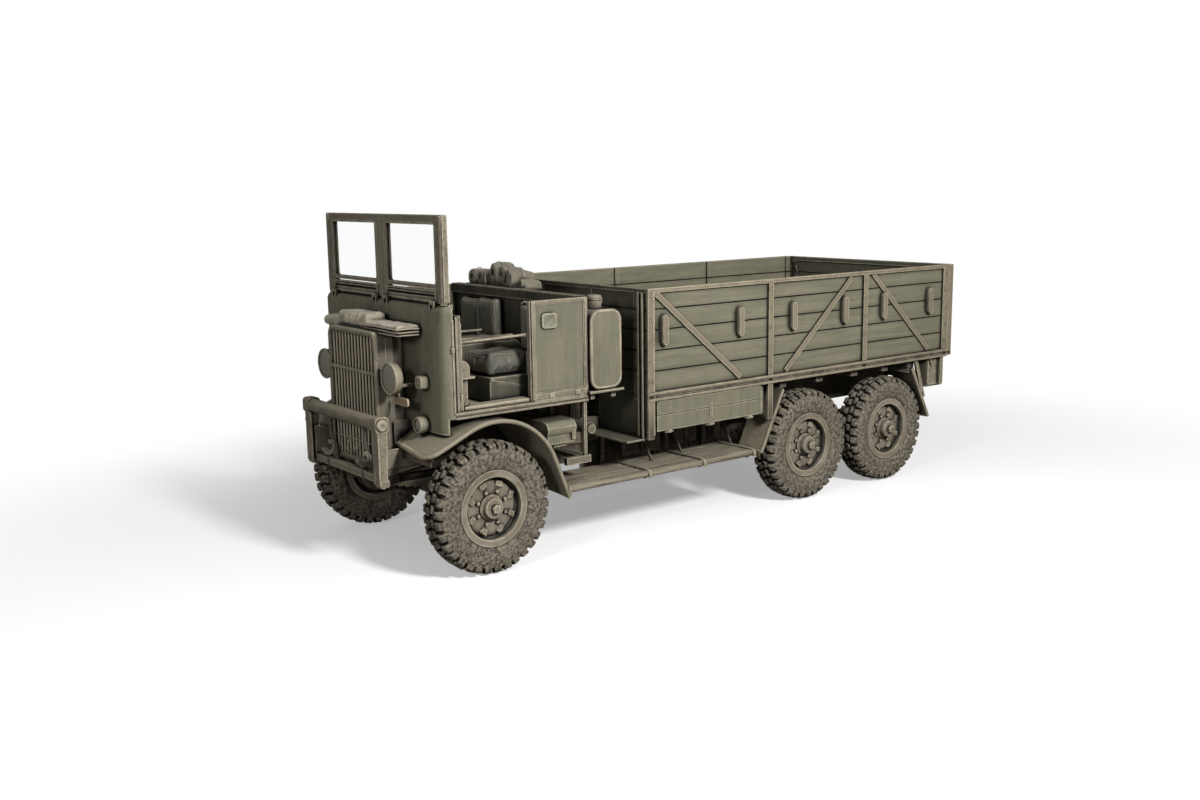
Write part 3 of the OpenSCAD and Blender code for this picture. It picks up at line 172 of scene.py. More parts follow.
def build_edge_wear_and_highlight():
    """Mask of outer and inner edges, broken up by noise, for rubbed paint and a painted highlight along the
    edges.
    """
    tree, get, give = new_group("edge wear", {"Radius": 0.01, "Breakup": 9.0}, ["Mask"])
    bevel = add(tree, "Bevel", {"samples": 4}, Radius=get["Radius"]).outputs[0]
    facing = add(tree, "NewGeometry").outputs["Normal"]
    dot = add(tree, "VectorMath", {"operation": "DOT_PRODUCT"})
    tree.links.new(bevel, dot.inputs[0])
    tree.links.new(facing, dot.inputs[1])
    edge = ramp(tree, calc(tree, "SUBTRACT", 1.0, dot.outputs["Value"]), 0.012, 0.085)
    patches = ramp(tree, noise(tree, here(tree), get["Breakup"], 5.0, 0.65), 0.36, 0.6, 0.35, 1.0)
    tree.links.new(times(tree, edge, patches, clamp=True), give["Mask"])
    return tree


def build_recess():
    """Masks of painted shade from occlusion: a thin dark line in a corner and broader shade in a hollow."""
    tree, get, give = new_group("recess dirt", {"Line": 0.04, "Hollow": 0.35}, ["Line", "Hollow"])
    near = add(tree, "AmbientOcclusion", {"samples": 8}, Distance=get["Line"]).outputs["AO"]
    far = add(tree, "AmbientOcclusion", {"samples": 6}, Distance=get["Hollow"]).outputs["AO"]
    tree.links.new(ramp(tree, near, 0.56, 0.95, 1.0, 0.0), give["Line"])
    tree.links.new(ramp(tree, far, 0.1, 0.82, 1.0, 0.0), give["Hollow"])
    return tree


def build_mottle():
    """Cloudy patches with fine specks and vertical streaks."""
    tree, get, give = new_group("mottle", {"Scale": 3.0}, ["Patches", "Specks", "Streaks"])
    place = here(tree)
    stretched = add(tree, "Mapping", None, Vector=place, Scale=(14.0, 14.0, 1.3)).outputs[0]
    tree.links.new(ramp(tree, noise(tree, place, get["Scale"], 6.0, 0.6), 0.3, 0.7), give["Patches"])
    tree.links.new(ramp(tree, noise(tree, place, 160.0, 2.0), 0.35, 0.7), give["Specks"])
    tree.links.new(ramp(tree, noise(tree, stretched, 1.0, 4.0, 0.6), 0.35, 0.75), give["Streaks"])
    return tree


def build_dust():
    """Dust that lies on upward faces and mud that fades with height."""
    tree, get, give = new_group("dust", {"Mud top": 1.2}, ["Lying", "Mud"])
    cloud = noise(tree, here(tree), 7.0, 6.0, 0.65)
    up = ramp(tree, coordinate(tree, "Z", "Normal"), 0.25, 0.95)
    tree.links.new(times(tree, up, ramp(tree, cloud, 0.3, 0.65, 0.35, 1.0)), give["Lying"])
    height = calc(tree, "DIVIDE", coordinate(tree, "Z"), get["Mud top"])
    low = calc(tree, "SUBTRACT", 1.0, height, clamp=True)
    tree.links.new(times(tree, low, ramp(tree, cloud, 0.35, 0.68)), give["Mud"])
    return tree


def build_grain():
    """Long wood fibres along a direction, as a height and a colour mask."""
    tree, get, give = new_group("grain", {"Stretch": (1.0, 16.0, 16.0)}, ["Fibres", "Bands"])
    along = add(tree, "Mapping", None, Vector=here(tree), Scale=get["Stretch"]).outputs[0]
    fibres = noise(tree, along, 6.0, 6.0, 0.62, 0.35)
    bands = noise(tree, along, 1.1, 3.0, 0.55, 0.6)
    tree.links.new(ramp(tree, fibres, 0.3, 0.7), give["Fibres"])
    tree.links.new(ramp(tree, bands, 0.35, 0.65), give["Bands"])
    return tree


EDGE_WEAR_AND_HIGHLIGHT = build_edge_wear_and_highlight()
RECESS = build_recess()
MOTTLE = build_mottle()
DUST_GROUP = build_dust()
GRAIN = build_grain()


# ---------------------------------------------------------------- materials

def new_material(name):
    made = bpy.data.materials.new(name)
    made.use_nodes = True
    tree = made.node_tree
    return made, tree, tree.nodes["Principled BSDF"]


def dress(tree, shader, **inputs):
    """Sets the surface's inputs, each to a value or a socket."""
    for name, value in inputs.items():
        put(tree, value, shader.inputs[name.replace("_", " ")])


def surface_bump(tree, shader, height, strength, distance=0.004):
    bump = add(tree, "Bump", None, Height=height, Strength=strength, Distance=distance)
    tree.links.new(bump.outputs[0], shader.inputs["Normal"])


def weather_shade_and_highlight(tree, colour, edge_colour, wear_and_highlight, radius, painted_shade, reach, dust, mud=0.0, mud_top=1.2, hollow=0.35):
    """Lays dust and mud over a colour, lightens its edges as rubbed paint and a painted highlight, then lays
    painted shade in its hollows and dark lines of painted shade in its corners.
    """
    edges = use_group(tree, EDGE_WEAR_AND_HIGHLIGHT, Radius=radius)["Mask"]
    corners = use_group(tree, RECESS, Line=reach, Hollow=hollow)
    fallen = use_group(tree, DUST_GROUP, Mud_top=mud_top)
    colour = stain(tree, colour, fallen["Lying"], dust, DUST)
    if mud:
        colour = stain(tree, colour, fallen["Mud"], mud, DUST)
    # Rubbed edges, lightened as a painted highlight.
    colour = stain(tree, colour, edges, wear_and_highlight, edge_colour)
    # Painted shade: broad in hollows, then dark lines in corners.
    colour = stain(tree, colour, corners["Hollow"], painted_shade * 0.8, DIRT_AND_SHADE)
    return stain(tree, colour, corners["Line"], painted_shade, DIRT_AND_SHADE)


def facing_forward(tree):
    """Mask of faces that look towards the front of the truck."""
    return ramp(tree, coordinate(tree, "X", "Normal"), 0.3, 0.8)


def behind_slats(tree):
    """Mask of what lies deeper in the radiator's mouth than the face of its slats."""
    (_, _, low), (front, half, high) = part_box("radiator")
    middle_z, tall = (low + high) / 2, (high - low) / 2
    depth, across, height = coordinate(tree, "X"), coordinate(tree, "Y"), coordinate(tree, "Z")
    deep = ramp(tree, depth, front - 0.0135, front - 0.0085, 1.0, 0.0)
    mouth = ramp(tree, depth, front - 0.128, front - 0.123)
    aside = ramp(tree, calc(tree, "ABSOLUTE", across), half - 0.036, half - 0.03, 1.0, 0.0)
    off_middle = calc(tree, "ABSOLUTE", calc(tree, "SUBTRACT", height, middle_z))
    inside = ramp(tree, off_middle, tall - 0.036, tall - 0.03, 1.0, 0.0)
    return times(tree, times(tree, deep, mouth), times(tree, aside, inside))


def painted(name, base, dark, edge=TAN, wear_and_highlight=0.9, radius=0.017, painted_shade=0.97, reach=0.042,
            dust=0.35, mud=0.15, mud_top=1.2, rough=0.68, front_shade=0.0, hollow=0.35, mouth=False, pits=0.12):
    """Matt paint with streaks, pits and dust, chipped edges lightened as a painted highlight and painted shade
    in corners and hollows; what faces forward can be darkened as painted shade, and a radiator mouth gets
    painted shade on its flanks and behind its slats.
    """
    made, tree, shader = new_material(name)
    cloud = use_group(tree, MOTTLE, Scale=2.4)
    colour = stain(tree, base, cloud["Patches"], 0.45, dark)
    colour = stain(tree, colour, cloud["Streaks"], 0.1, TAN)
    colour = stain(tree, colour, cloud["Specks"], 0.12, dark)
    pitted = ramp(tree, noise(tree, here(tree), 38.0, 6.0, 0.72), 0.5, 0.62)
    colour = stain(tree, colour, pitted, pits, DIRT_AND_SHADE)
    # Painted shade on the faces that look towards the front.
    if front_shade:
        colour = stain(tree, colour, facing_forward(tree), front_shade, DIRT_AND_SHADE)
    colour = weather_shade_and_highlight(tree, colour, edge, wear_and_highlight, radius, painted_shade, reach, dust, mud, mud_top, hollow)
    # Painted shade: the shell's flanks and everything deeper than the slat faces go near-black.
    if mouth:
        flank = ramp(tree, calc(tree, "ABSOLUTE", coordinate(tree, "Y")), 0.35, 0.364)
        turned = ramp(tree, calc(tree, "ABSOLUTE", coordinate(tree, "Y", "Normal")), 0.4, 0.9, 0.0, 0.76)
        aside = times(tree, turned, flank)
        colour = blend(tree, calc(tree, "MAXIMUM", aside, behind_slats(tree)), colour, DIRT_AND_SHADE)
    shine = ramp(tree, cloud["Patches"], 0.0, 1.0, rough - 0.08, rough + 0.12)
    dress(tree, shader, Base_Color=colour, Roughness=shine, Specular_IOR_Level=0.35)
    relief = calc(tree, "SUBTRACT", cloud["Specks"], times(tree, pitted, 2.0))
    surface_bump(tree, shader, relief, 0.08 + 0.5 * pits, 0.002)
    return made


def board_joints_and_shade(tree):
    """Thin dark line at each joint between the side boards, with a faint painted shade beside it."""
    rows = calc(tree, "DIVIDE", calc(tree, "SUBTRACT", coordinate(tree, "Z"), PLANK_Z), PLANK_H)
    off = times(tree, calc(tree, "PINGPONG", rows, 0.5), PLANK_H)
    shade = ramp(tree, off, 0.006, 0.036, 0.2, 0.0)
    line = calc(tree, "MAXIMUM", ramp(tree, off, 0.005, 0.01, 1.0, 0.0), shade)
    above = ramp(tree, rows, 0.4, 0.5)
    below = ramp(tree, rows, 4.5, 4.6, 1.0, 0.0)
    return times(tree, line, times(tree, above, below))


def planks(name, base, dark, frame_colour, outside, grain_along=(1.0, 16.0, 16.0)):
    """Painted boards; what stands outside the given distance from the middle line is iron frame. Painted shade
    darkens the faces that look forward, the groove between the bottom rails and the low parts.
    """
    made, tree, shader = new_material(name)
    cloud = use_group(tree, MOTTLE, Scale=2.0)
    grain = use_group(tree, GRAIN, Stretch=grain_along)
    height = coordinate(tree, "Z")
    iron = ramp(tree, calc(tree, "ABSOLUTE", coordinate(tree, "Y")), outside, outside + 0.001)
    colour = stain(tree, base, cloud["Patches"], 0.4, dark)
    colour = stain(tree, colour, grain["Bands"], 0.11, TAN)
    colour = stain(tree, colour, grain["Fibres"], 0.28, dark)
    colour = stain(tree, colour, cloud["Streaks"], 0.12, BROWN)
    # Painted shade on the faces that look towards the front.
    colour = stain(tree, colour, facing_forward(tree), 0.62, DIRT_AND_SHADE)
    groove = calc(tree, "ABSOLUTE", calc(tree, "SUBTRACT", height, RAIL_GROOVE_Z))
    rusty = stain(tree, frame_colour, cloud["Patches"], 0.5, BROWN)
    # Painted shade in the groove between the two bottom rails.
    rusty = blend(tree, ramp(tree, groove, 0.007, 0.013, 0.96, 0.0), rusty, DIRT_AND_SHADE)
    colour = blend(tree, iron, colour, rusty)
    # Painted shade: darker low down, under the load floor.
    colour = blend(tree, ramp(tree, height, 0.9, 1.15, 0.6, 0.0), colour, DIRT_AND_SHADE)
    colour = weather_shade_and_highlight(tree, colour, TAN, 0.9, 0.014, 0.98, 0.075, 0.2, 0.15, 1.4)
    boards = calc(tree, "SUBTRACT", 1.0, iron)
    # Dark joints between the boards, with a faint painted shade beside each.
    colour = stain(tree, colour, board_joints_and_shade(tree), boards, DIRT_AND_SHADE)
    dress(tree, shader, Base_Color=colour, Roughness=0.82, Specular_IOR_Level=0.3)
    fibre = times(tree, grain["Fibres"], boards)
    surface_bump(tree, shader, fibre, 0.35, 0.003)
    return made


def bare_boards(name, base, dark, along):
    """Worn unpainted boards with open grain."""
    made, tree, shader = new_material(name)
    cloud = use_group(tree, MOTTLE, Scale=3.0)
    grain = use_group(tree, GRAIN, Stretch=along)
    colour = blend(tree, grain["Fibres"], dark, base)
    colour = stain(tree, colour, grain["Bands"], 0.4, TAN)
    colour = stain(tree, colour, cloud["Patches"], 0.3, BROWN)
    colour = weather_shade_and_highlight(tree, colour, TAN, 0.9, 0.02, 0.95, 0.045, 0.45)
    dress(tree, shader, Base_Color=colour, Roughness=0.88)
    surface_bump(tree, shader, grain["Fibres"], 0.6, 0.005)
    return made


def rough_iron(name, base, dust, mud, wear_and_highlight=0.5):
    """Cast and forged running gear under a coat of dried mud."""
    made, tree, shader = new_material(name)
    cloud = use_group(tree, MOTTLE, Scale=5.0)
    colour = blend(tree, cloud["Patches"], base, BROWN)
    colour = weather_shade_and_highlight(tree, colour, TAN, wear_and_highlight, 0.016, 0.95, 0.045, dust, mud, 1.1)
    dress(tree, shader, Base_Color=colour, Roughness=0.85)
    surface_bump(tree, shader, noise(tree, here(tree), 70.0, 6.0, 0.7), 0.45, 0.004)
    return made


def dusty_rubber(name):
    """Tyre rubber caked with pale dust, with painted shade between the lugs and a painted highlight on their
    edges.
    """
    made, tree, shader = new_material(name)
    place = here(tree)
    lumps = noise(tree, place, 34.0, 8.0, 0.7)
    cloud = use_group(tree, MOTTLE, Scale=4.0)
    grit = ramp(tree, noise(tree, place, 95.0, 4.0, 0.7), 0.38, 0.62)
    corners = use_group(tree, RECESS, Line=0.04, Hollow=0.11)
    edges = use_group(tree, EDGE_WEAR_AND_HIGHLIGHT, Radius=0.012, Breakup=14.0)["Mask"]
    colour = blend(tree, ramp(tree, lumps, 0.43, 0.58), (0.05, 0.044, 0.035), (0.365, 0.321, 0.248))
    colour = stain(tree, colour, cloud["Patches"], 0.3, TYRE)
    colour = stain(tree, colour, grit, 0.34, (0.42, 0.368, 0.286))
    # Painted highlight on the lug edges.
    colour = stain(tree, colour, edges, 0.6, TAN)
    # Painted shade between and under the lugs.
    colour = stain(tree, colour, corners["Hollow"], 0.75, DIRT_AND_SHADE)
    colour = stain(tree, colour, corners["Line"], 0.9, DIRT_AND_SHADE)
    dress(tree, shader, Base_Color=colour, Roughness=0.93, Specular_IOR_Level=0.2)
    surface_bump(tree, shader, calc(tree, "ADD", lumps, times(tree, grit, 0.5)), 1.0, 0.01)
    return made


def worn_hide(name):
    """Dull cracked leather, rubbed pale along its edges and lightened there as a painted highlight, with
    painted shade in its corners.
    """
    made, tree, shader = new_material(name)
    place = here(tree)
    cells = add(tree, "TexVoronoi", {"feature": "DISTANCE_TO_EDGE"}, Vector=place, Scale=130.0).outputs[0]
    creases = noise(tree, place, 18.0, 6.0, 0.6, 0.8)
    colour = blend(tree, ramp(tree, creases, 0.3, 0.7), HIDE, (0.135, 0.131, 0.104))
    colour = weather_shade_and_highlight(tree, colour, TAN, 0.5, 0.02, 0.9, 0.04, 0.3)
    dress(tree, shader, Base_Color=colour, Roughness=0.45)
    height = calc(tree, "ADD", ramp(tree, cells, 0.0, 0.12), creases)
    surface_bump(tree, shader, height, 0.35, 0.003)
    return made


def woven_canvas(name, base=CANVAS, dark=(0.1, 0.092, 0.069)):
    """Coarse plain-weave canvas with dusty folds."""
    made, tree, shader = new_material(name)
    place = here(tree)
    threads = []
    for direction in ("X", "Y", "Z"):
        wave = add(tree, "TexWave", {"bands_direction": direction}, Vector=place, Scale=95.0, Distortion=1.2)
        threads.append(wave.outputs[1])
    weave = calc(tree, "MAXIMUM", times(tree, threads[0], threads[2]),
                 times(tree, threads[1], threads[2]))
    stains = noise(tree, place, 6.0, 6.0, 0.6)
    colour = blend(tree, ramp(tree, stains, 0.36, 0.66), base, dark)
    colour = stain(tree, colour, weave, 0.25, TAN)
    colour = weather_shade_and_highlight(tree, colour, TAN, 0.7, 0.014, 0.97, 0.05, 0.4)
    dress(tree, shader, Base_Color=colour, Roughness=0.95, Sheen_Weight=0.15)
    surface_bump(tree, shader, calc(tree, "ADD", weave, stains), 0.35, 0.002)
    return made


def clear_glass(name):
    made, tree, shader = new_material(name)
    smears = ramp(tree, noise(tree, here(tree), 4.0, 5.0), 0.4, 0.8, 0.02, 0.1)
    dress(tree, shader, Base_Color=(0.95, 0.97, 0.96, 1.0), Roughness=smears, Transmission_Weight=1.0,
          IOR=1.02, Specular_IOR_Level=0.3)
    return made


def lamp_glass(name, base, rough=0.18):
    """Thick dull glass with a greenish body and a dusty face."""
    made, tree, shader = new_material(name)
    smear = noise(tree, here(tree), 7.0, 3.0, 0.5)
    colour = blend(tree, ramp(tree, smear, 0.35, 0.75), base, DUST)
    dress(tree, shader, Base_Color=blend(tree, 0.35, base, colour),
          Roughness=ramp(tree, smear, 0.3, 0.8, rough, rough + 0.25))
    surface_bump(tree, shader, smear, 0.08, 0.002)
    return made


def all_materials():
    return {
        "olive": painted("olive paint", OLIVE, OLIVE_DARK),
        "pale": painted("faded panel paint", (0.245, 0.248, 0.185), OLIVE, dust=0.3),
        # A darker copy of the olive paint, as painted shade inside the cab.
        "inner": painted("inside paint in painted shade", (0.105, 0.101, 0.072), (0.05, 0.048, 0.036),
                         front_shade=0.5, dust=0.5),
        "frame": painted("worn frame paint", (0.262, 0.234, 0.17), BROWN, wear_and_highlight=0.95, dust=0.6, pits=0.42),
        "planks": planks("painted planks", (0.215, 0.207, 0.143), OLIVE_DARK, RUSTY, 1.1175),
        # Much lighter than the frame paint, as a painted highlight on the slat faces.
        "grille": painted("grille paint", (0.7, 0.625, 0.465), RUSTY, wear_and_highlight=0.95, radius=0.007, reach=0.018,
                          dust=0.6, hollow=0.06, mouth=True),
        # Darker than the frame paint, as painted shade low under the tanks.
        "carrier": painted("carrier paint", (0.17, 0.153, 0.112), OLIVE_DARK, wear_and_highlight=0.85),
        # Made light as painted light, so the cab floor stays bright in the shadow of the seat boxes.
        "deck": painted("scuffed floor paint", (0.48, 0.415, 0.3), RUSTY, dust=0.5, hollow=0.1, pits=0.35),
        "wing": painted("dusty wing paint", (0.28, 0.247, 0.18), OLIVE, wear_and_highlight=0.95,
                        dust=0.8, mud=0.3, hollow=0.15, pits=0.3),
        "rusty": painted("rubbed iron straps", RUSTY, BROWN, dust=0.5, mud=0.1, pits=0.35),
        "floor": bare_boards("load floor boards", BOARD, BROWN, (1.0, 16.0, 16.0)),
        "steps": bare_boards("running boards", (0.29, 0.25, 0.18), (0.075, 0.062, 0.045), (1.0, 26.0, 26.0)),
        "iron": rough_iron("running gear iron", IRON, 0.5, 0.35),
        "black": rough_iron("shaded iron", (0.02, 0.019, 0.016), 0.15, 0.1, wear_and_highlight=0.2),
        "wheel": rough_iron("wheel paint", (0.29, 0.258, 0.2), 0.35, 0.45, wear_and_highlight=0.9),
        "rubber": dusty_rubber("dusty rubber"),
        "hide": worn_hide("worn hide"),
        "canvas": woven_canvas("canvas"),
        "muff": woven_canvas("muff canvas", (0.6, 0.53, 0.4), (0.27, 0.24, 0.18)),
        "strap": woven_canvas("webbing", (0.45, 0.395, 0.29), (0.23, 0.2, 0.145)),
        "glass": clear_glass("window glass"),
        "lens": lamp_glass("lamp glass", (0.3, 0.292, 0.228), 0.26),
        "dial": lamp_glass("dial glass", (0.075, 0.074, 0.062), 0.1),
        "plate": painted("ochre marker paint", OCHRE, BROWN, wear_and_highlight=0.7, mud=0.0),
        "lamp": painted("lamp metal", (0.35, 0.315, 0.232), BROWN, wear_and_highlight=0.95, radius=0.009, reach=0.024),
    }


MATERIAL = all_materials()

NODE_FINISH = {
    "olive": ["cab_front_panel", "cab_side_panels", "fuel_tank", "battery_boxes", "side_lockers",
              "locker_flap_left", "locker_flap_right"],
    "inner": ["cab_rear_wall", "dashboard", "engine_cover", "seat_frames"],
    "deck": ["cab_floor"],
    "grille": ["radiator"],
    "wing": ["front_wings"],
    "frame": ["front_bumper", "cowl_boards", "windscreen_frame", "mud_flaps"],
    "carrier": ["tank_carrier"],
    "planks": ["cargo_front_wall", "cargo_side_left", "cargo_side_right", "tailgate"],
    "floor": ["cargo_floor"],
    "steps": ["running_boards"],
    "iron": ["side_rails", "cross_members", "cab_mounts", "floor_bearers", "engine", "propeller_shafts",
             "exhaust", "front_axle", "leaf_springs", "bogie_axles", "knuckle_left", "knuckle_right",
             "tie_rod", "steering_wheel"],
    "wheel": ["wheel_" + wheel for wheel in WHEELS],
    "rubber": ["tyre_" + wheel for wheel in WHEELS],
    "hide": ["seat_cushions", "seat_backs"],
    "canvas": ["radiator_muff", "folded_hood"],
    "glass": ["windscreen_glass"],
    "lamp": ["lamps"],
}


def finish_cad_nodes():
    for finish, nodes in NODE_FINISH.items():
        for name in nodes:
            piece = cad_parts[name]
            piece.data.materials.clear()
            piece.data.materials.append(MATERIAL[finish])


# ---------------------------------------------------------------- modelling helpers


def leave_edit():
    bpy.ops.object.mode_set(mode="OBJECT")


def apply_transform():
    bpy.ops.object.transform_apply(location=True, rotation=True, scale=True)


def put_in_scene(name, data):
    made = bpy.data.objects.new(name, data)
    bpy.context.scene.collection.objects.link(made)
    return made


def clear():
    """Leaves edit mode and deselects everything."""
    if bpy.context.object and bpy.context.object.mode != "OBJECT":
        leave_edit()
    bpy.ops.object.select_all(action="DESELECT")


def pick(piece):
    clear()
    piece.select_set(True)
    bpy.context.view_layer.objects.active = piece


def edit(piece):
    """Opens a piece in edit mode with all of it selected."""
    pick(piece)
    bpy.ops.object.mode_set(mode="EDIT")
    bpy.ops.mesh.select_all(action="SELECT")


def choose_faces(piece, test):
    """Selects the faces whose centre and normal pass the test, in edit mode."""
    bpy.ops.mesh.select_all(action="DESELECT")
    shape = bmesh.from_edit_mesh(piece.data)
    for face in shape.faces:
        face.select_set(bool(test(face.calc_center_median(), face.normal)))
    bmesh.update_edit_mesh(piece.data)


def apply_modifier(piece, kind, **values):
    pick(piece)
    made = piece.modifiers.new(kind.lower(), kind)
    for name, value in values.items():
        setattr(made, name, value)
    bpy.ops.object.modifier_apply(modifier=made.name)


def block(low, high, bevel=0.004, segments=2):
    """A box between two corners with rounded edges."""
    clear()
    low, high = Vector(low), Vector(high)
    bpy.ops.mesh.primitive_cube_add(size=1.0, location=(low + high) / 2)
    piece = bpy.context.object
    piece.scale = high - low
    apply_transform()
    if bevel:
        edit(piece)
        bpy.ops.mesh.bevel(offset=bevel, segments=segments, affect="EDGES")
        leave_edit()
    return piece


def rod(start, end, radius, sides=16, bevel=0.002):
    """A round bar between two points with its ends broken."""
    clear()
    start, end = Vector(start), Vector(end)
    run = end - start
    bpy.ops.mesh.primitive_cylinder_add(vertices=sides, radius=radius, depth=run.length,
                                        location=(start + end) / 2,
                                        rotation=run.to_track_quat("Z", "Y").to_euler())
    piece = bpy.context.object
    apply_transform()
    along = run.normalized()
    edit(piece)
    choose_faces(piece, lambda centre, normal: abs(normal.dot(along)) > 0.9)
    if bevel:
        bpy.ops.mesh.inset(thickness=bevel)
        shape = bmesh.from_edit_mesh(piece.data)
        for face in shape.faces:
            if face.select:
                push = along * bevel * (1 if face.normal.dot(along) > 0 else -1)
                for vertex in face.verts:
                    vertex.co += push * 0.5
        bmesh.update_edit_mesh(piece.data)
    leave_edit()
    return piece


def lathe(centre, axis, outline, steps=48):
    """Spins an open outline of (radius, distance along the axis) points about the axis."""
    centre, axis = Vector(centre), Vector(axis).normalized()
    outward = axis.orthogonal().normalized()
    points = [centre + outward * radius + axis * along for radius, along in outline]
    clear()
    bpy.ops.mesh.primitive_plane_add(size=0.01, location=points[0])
    piece = bpy.context.object
    apply_transform()
    edit(piece)
    bpy.ops.mesh.merge(type="CENTER")
    for before, after in zip(points, points[1:]):
        bpy.ops.mesh.extrude_vertices_move(TRANSFORM_OT_translate={"value": after - before})
    bpy.ops.mesh.select_all(action="SELECT")
    bpy.ops.mesh.spin(steps=steps, angle=math.tau, center=centre, axis=axis)
    bpy.ops.mesh.select_all(action="SELECT")
    bpy.ops.mesh.remove_doubles(threshold=0.0002)
    bpy.ops.mesh.normals_make_consistent(inside=False)
    leave_edit()
    return piece


def pipe(points, radius, cyclic=False, sides=2):
    """A smooth round bar along points, bent as by hand."""
    curve = bpy.data.curves.new("pipe", "CURVE")
    curve.dimensions = "3D"
    curve.bevel_depth = radius
    curve.bevel_resolution = sides
    curve.resolution_u = 6
    curve.use_fill_caps = True
    spline = curve.splines.new("NURBS")
    spline.points.add(len(points) - 1)
    for spot, point in zip(spline.points, points):
        spot.co = (*point, 1.0)
    spline.use_endpoint_u = not cyclic
    spline.use_cyclic_u = cyclic
    spline.order_u = 3
    pick(put_in_scene("pipe", curve))
    bpy.ops.object.convert(target="MESH")
    return bpy.context.object


def join(pieces):
    clear()
    for piece in pieces:
        piece.select_set(True)
    bpy.context.view_layer.objects.active = pieces[0]
    if len(pieces) > 1:
        bpy.ops.object.join()
    return bpy.context.object


def scatter(models, places):
    """Copies small models in turn to the places, all in one new piece; the models go."""
    shape = bmesh.new()
    for index, place in enumerate(places):
        mesh = models[index % len(models)].data.copy()
        mesh.transform(place)
        shape.from_mesh(mesh)
        bpy.data.meshes.remove(mesh)
    made = bpy.data.meshes.new("copies")
    shape.to_mesh(made)
    shape.free()
    for model in models:
        bpy.data.objects.remove(model)
    return put_in_scene("copies", made)


def twin(piece, move=(0, 0, 0), flip=False):
    """A copy with its own mesh, moved or mirrored to the other side of the truck."""
    copy = piece.copy()
    copy.data = piece.data.copy()
    bpy.context.scene.collection.objects.link(copy)
    copy.data.transform(Matrix.Translation(move))
    if flip:
        copy.data.transform(Matrix.Scale(-1.0, 4, LEFT))
        copy.data.flip_normals()
    return copy


def fit(parts, name, finish, smooth=35.0, body="truck", mirror=False):
    """Joins parts, with their mirror images if asked, into a piece of one material on its body."""
    piece = join(parts + [twin(part, flip=True) for part in parts] if mirror else parts)
    pick(piece)
    apply_transform()
    bpy.ops.object.shade_smooth_by_angle(angle=math.radians(smooth))
    piece.name = name
    piece.data.name = name
    piece.data.materials.clear()
    piece.data.materials.append(MATERIAL[finish])
    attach(piece, body)
    return piece


def chip(piece, cuts, offset, seed):
    """Shifts the points of a subdivided piece at random, as on a worn or cast surface."""
    edit(piece)
    bpy.ops.mesh.subdivide(number_cuts=cuts)
    bpy.ops.transform.vertex_random(offset=offset, seed=seed)
    leave_edit()
    return piece


def hex_head(radius=0.011, height=0.008):
    """A bolt head that stands on the ground plane and points up."""
    clear()
    bpy.ops.mesh.primitive_cylinder_add(vertices=6, radius=radius, depth=height, location=(0, 0, height / 2))
    piece = bpy.context.object
    apply_transform()
    edit(piece)
    choose_faces(piece, lambda centre, normal: normal.z > 0.9)
    bpy.ops.mesh.inset(thickness=radius * 0.22)
    bpy.ops.transform.translate(value=(0, 0, height * 0.3))
    leave_edit()
    return piece


def facing(point, normal, spin=0.0):
    """The placement that stands an upright model on a surface at a point."""
    turn = Vector(normal).to_track_quat("Z", "Y").to_matrix().to_4x4()
    return Matrix.Translation(point) @ turn @ Matrix.Rotation(spin, 4, "Z")


def plate(centre, normal, width, height, radius, thickness, rim=0.0, sink=0.0, bevel=0.003, steps=4):
    """A flat piece with round corners on a back face's centre; a rim may stand round a sunk field."""
    clear()
    bpy.ops.mesh.primitive_plane_add(size=1.0)
    piece = bpy.context.object
    piece.scale = (width, height, 1.0)
    apply_transform()
    edit(piece)
    bpy.ops.mesh.bevel(offset=radius, segments=steps, affect="VERTICES")
    bpy.ops.mesh.select_all(action="SELECT")
    bpy.ops.mesh.extrude_region_move(TRANSFORM_OT_translate={"value": (0, 0, thickness - bevel)})
    bpy.ops.mesh.inset(thickness=bevel, depth=bevel)
    if rim:
        bpy.ops.mesh.inset(thickness=rim)
        bpy.ops.mesh.inset(thickness=bevel, depth=-sink)
    bpy.ops.mesh.select_all(action="SELECT")
    bpy.ops.mesh.normals_make_consistent(inside=False)
    leave_edit()
    piece.data.transform(facing(centre, normal))
    return piece


def strut(start, end, width, depth, side=LEFT, bevel=0.004):
    """A flat bar between two points, its depth towards the side."""
    start, end = Vector(start), Vector(end)
    along = (end - start).normalized()
    out = Vector(side)
    across = out.cross(along).normalized()
    piece = block((-width / 2, -depth / 2, 0.0), (width / 2, depth / 2, (end - start).length), bevel)
    turn = Matrix((across, out, along)).transposed().to_4x4()
    piece.data.transform(Matrix.Translation(start) @ turn)
    return piece


def ring(centre, axis, radius, tube, steps=40, sides=8):
    """A round ring about an axis."""
    outline = [(radius + tube * math.cos(turn), tube * math.sin(turn))
               for turn in (index * math.tau / sides for index in range(sides + 1))]
    return lathe(centre, axis, outline, steps)


def corner_points(width, height, corner):
    """Points round a frame with round corners about the origin, five to a corner."""
    points = []
    for across, up, start in ((1, 1, 0), (-1, 1, 1), (-1, -1, 2), (1, -1, 3)):
        for step in range(5):
            turn = (start + step / 4) * math.pi / 2
            points.append(Vector((across * (width / 2 - corner) + corner * math.cos(turn),
                                  up * (height / 2 - corner) + corner * math.sin(turn), 0)))
    return points


def hoop(centre, normal, width, height, corner, tube, sides=2):
    """A round bar bent into a closed frame with round corners."""
    place = facing(centre, normal)
    return pipe([place @ point for point in corner_points(width, height, corner)], tube, True, sides)


def roughen(piece, size, strength, levels=0):
    """Waves a surface gently with a fixed cloud pattern."""
    if levels:
        apply_modifier(piece, "SUBSURF", levels=levels, render_levels=levels)
    clouds = bpy.data.textures.new("clouds", "CLOUDS")
    clouds.noise_scale = size
    apply_modifier(piece, "DISPLACE", texture=clouds, strength=strength, texture_coords="LOCAL")
    return piece


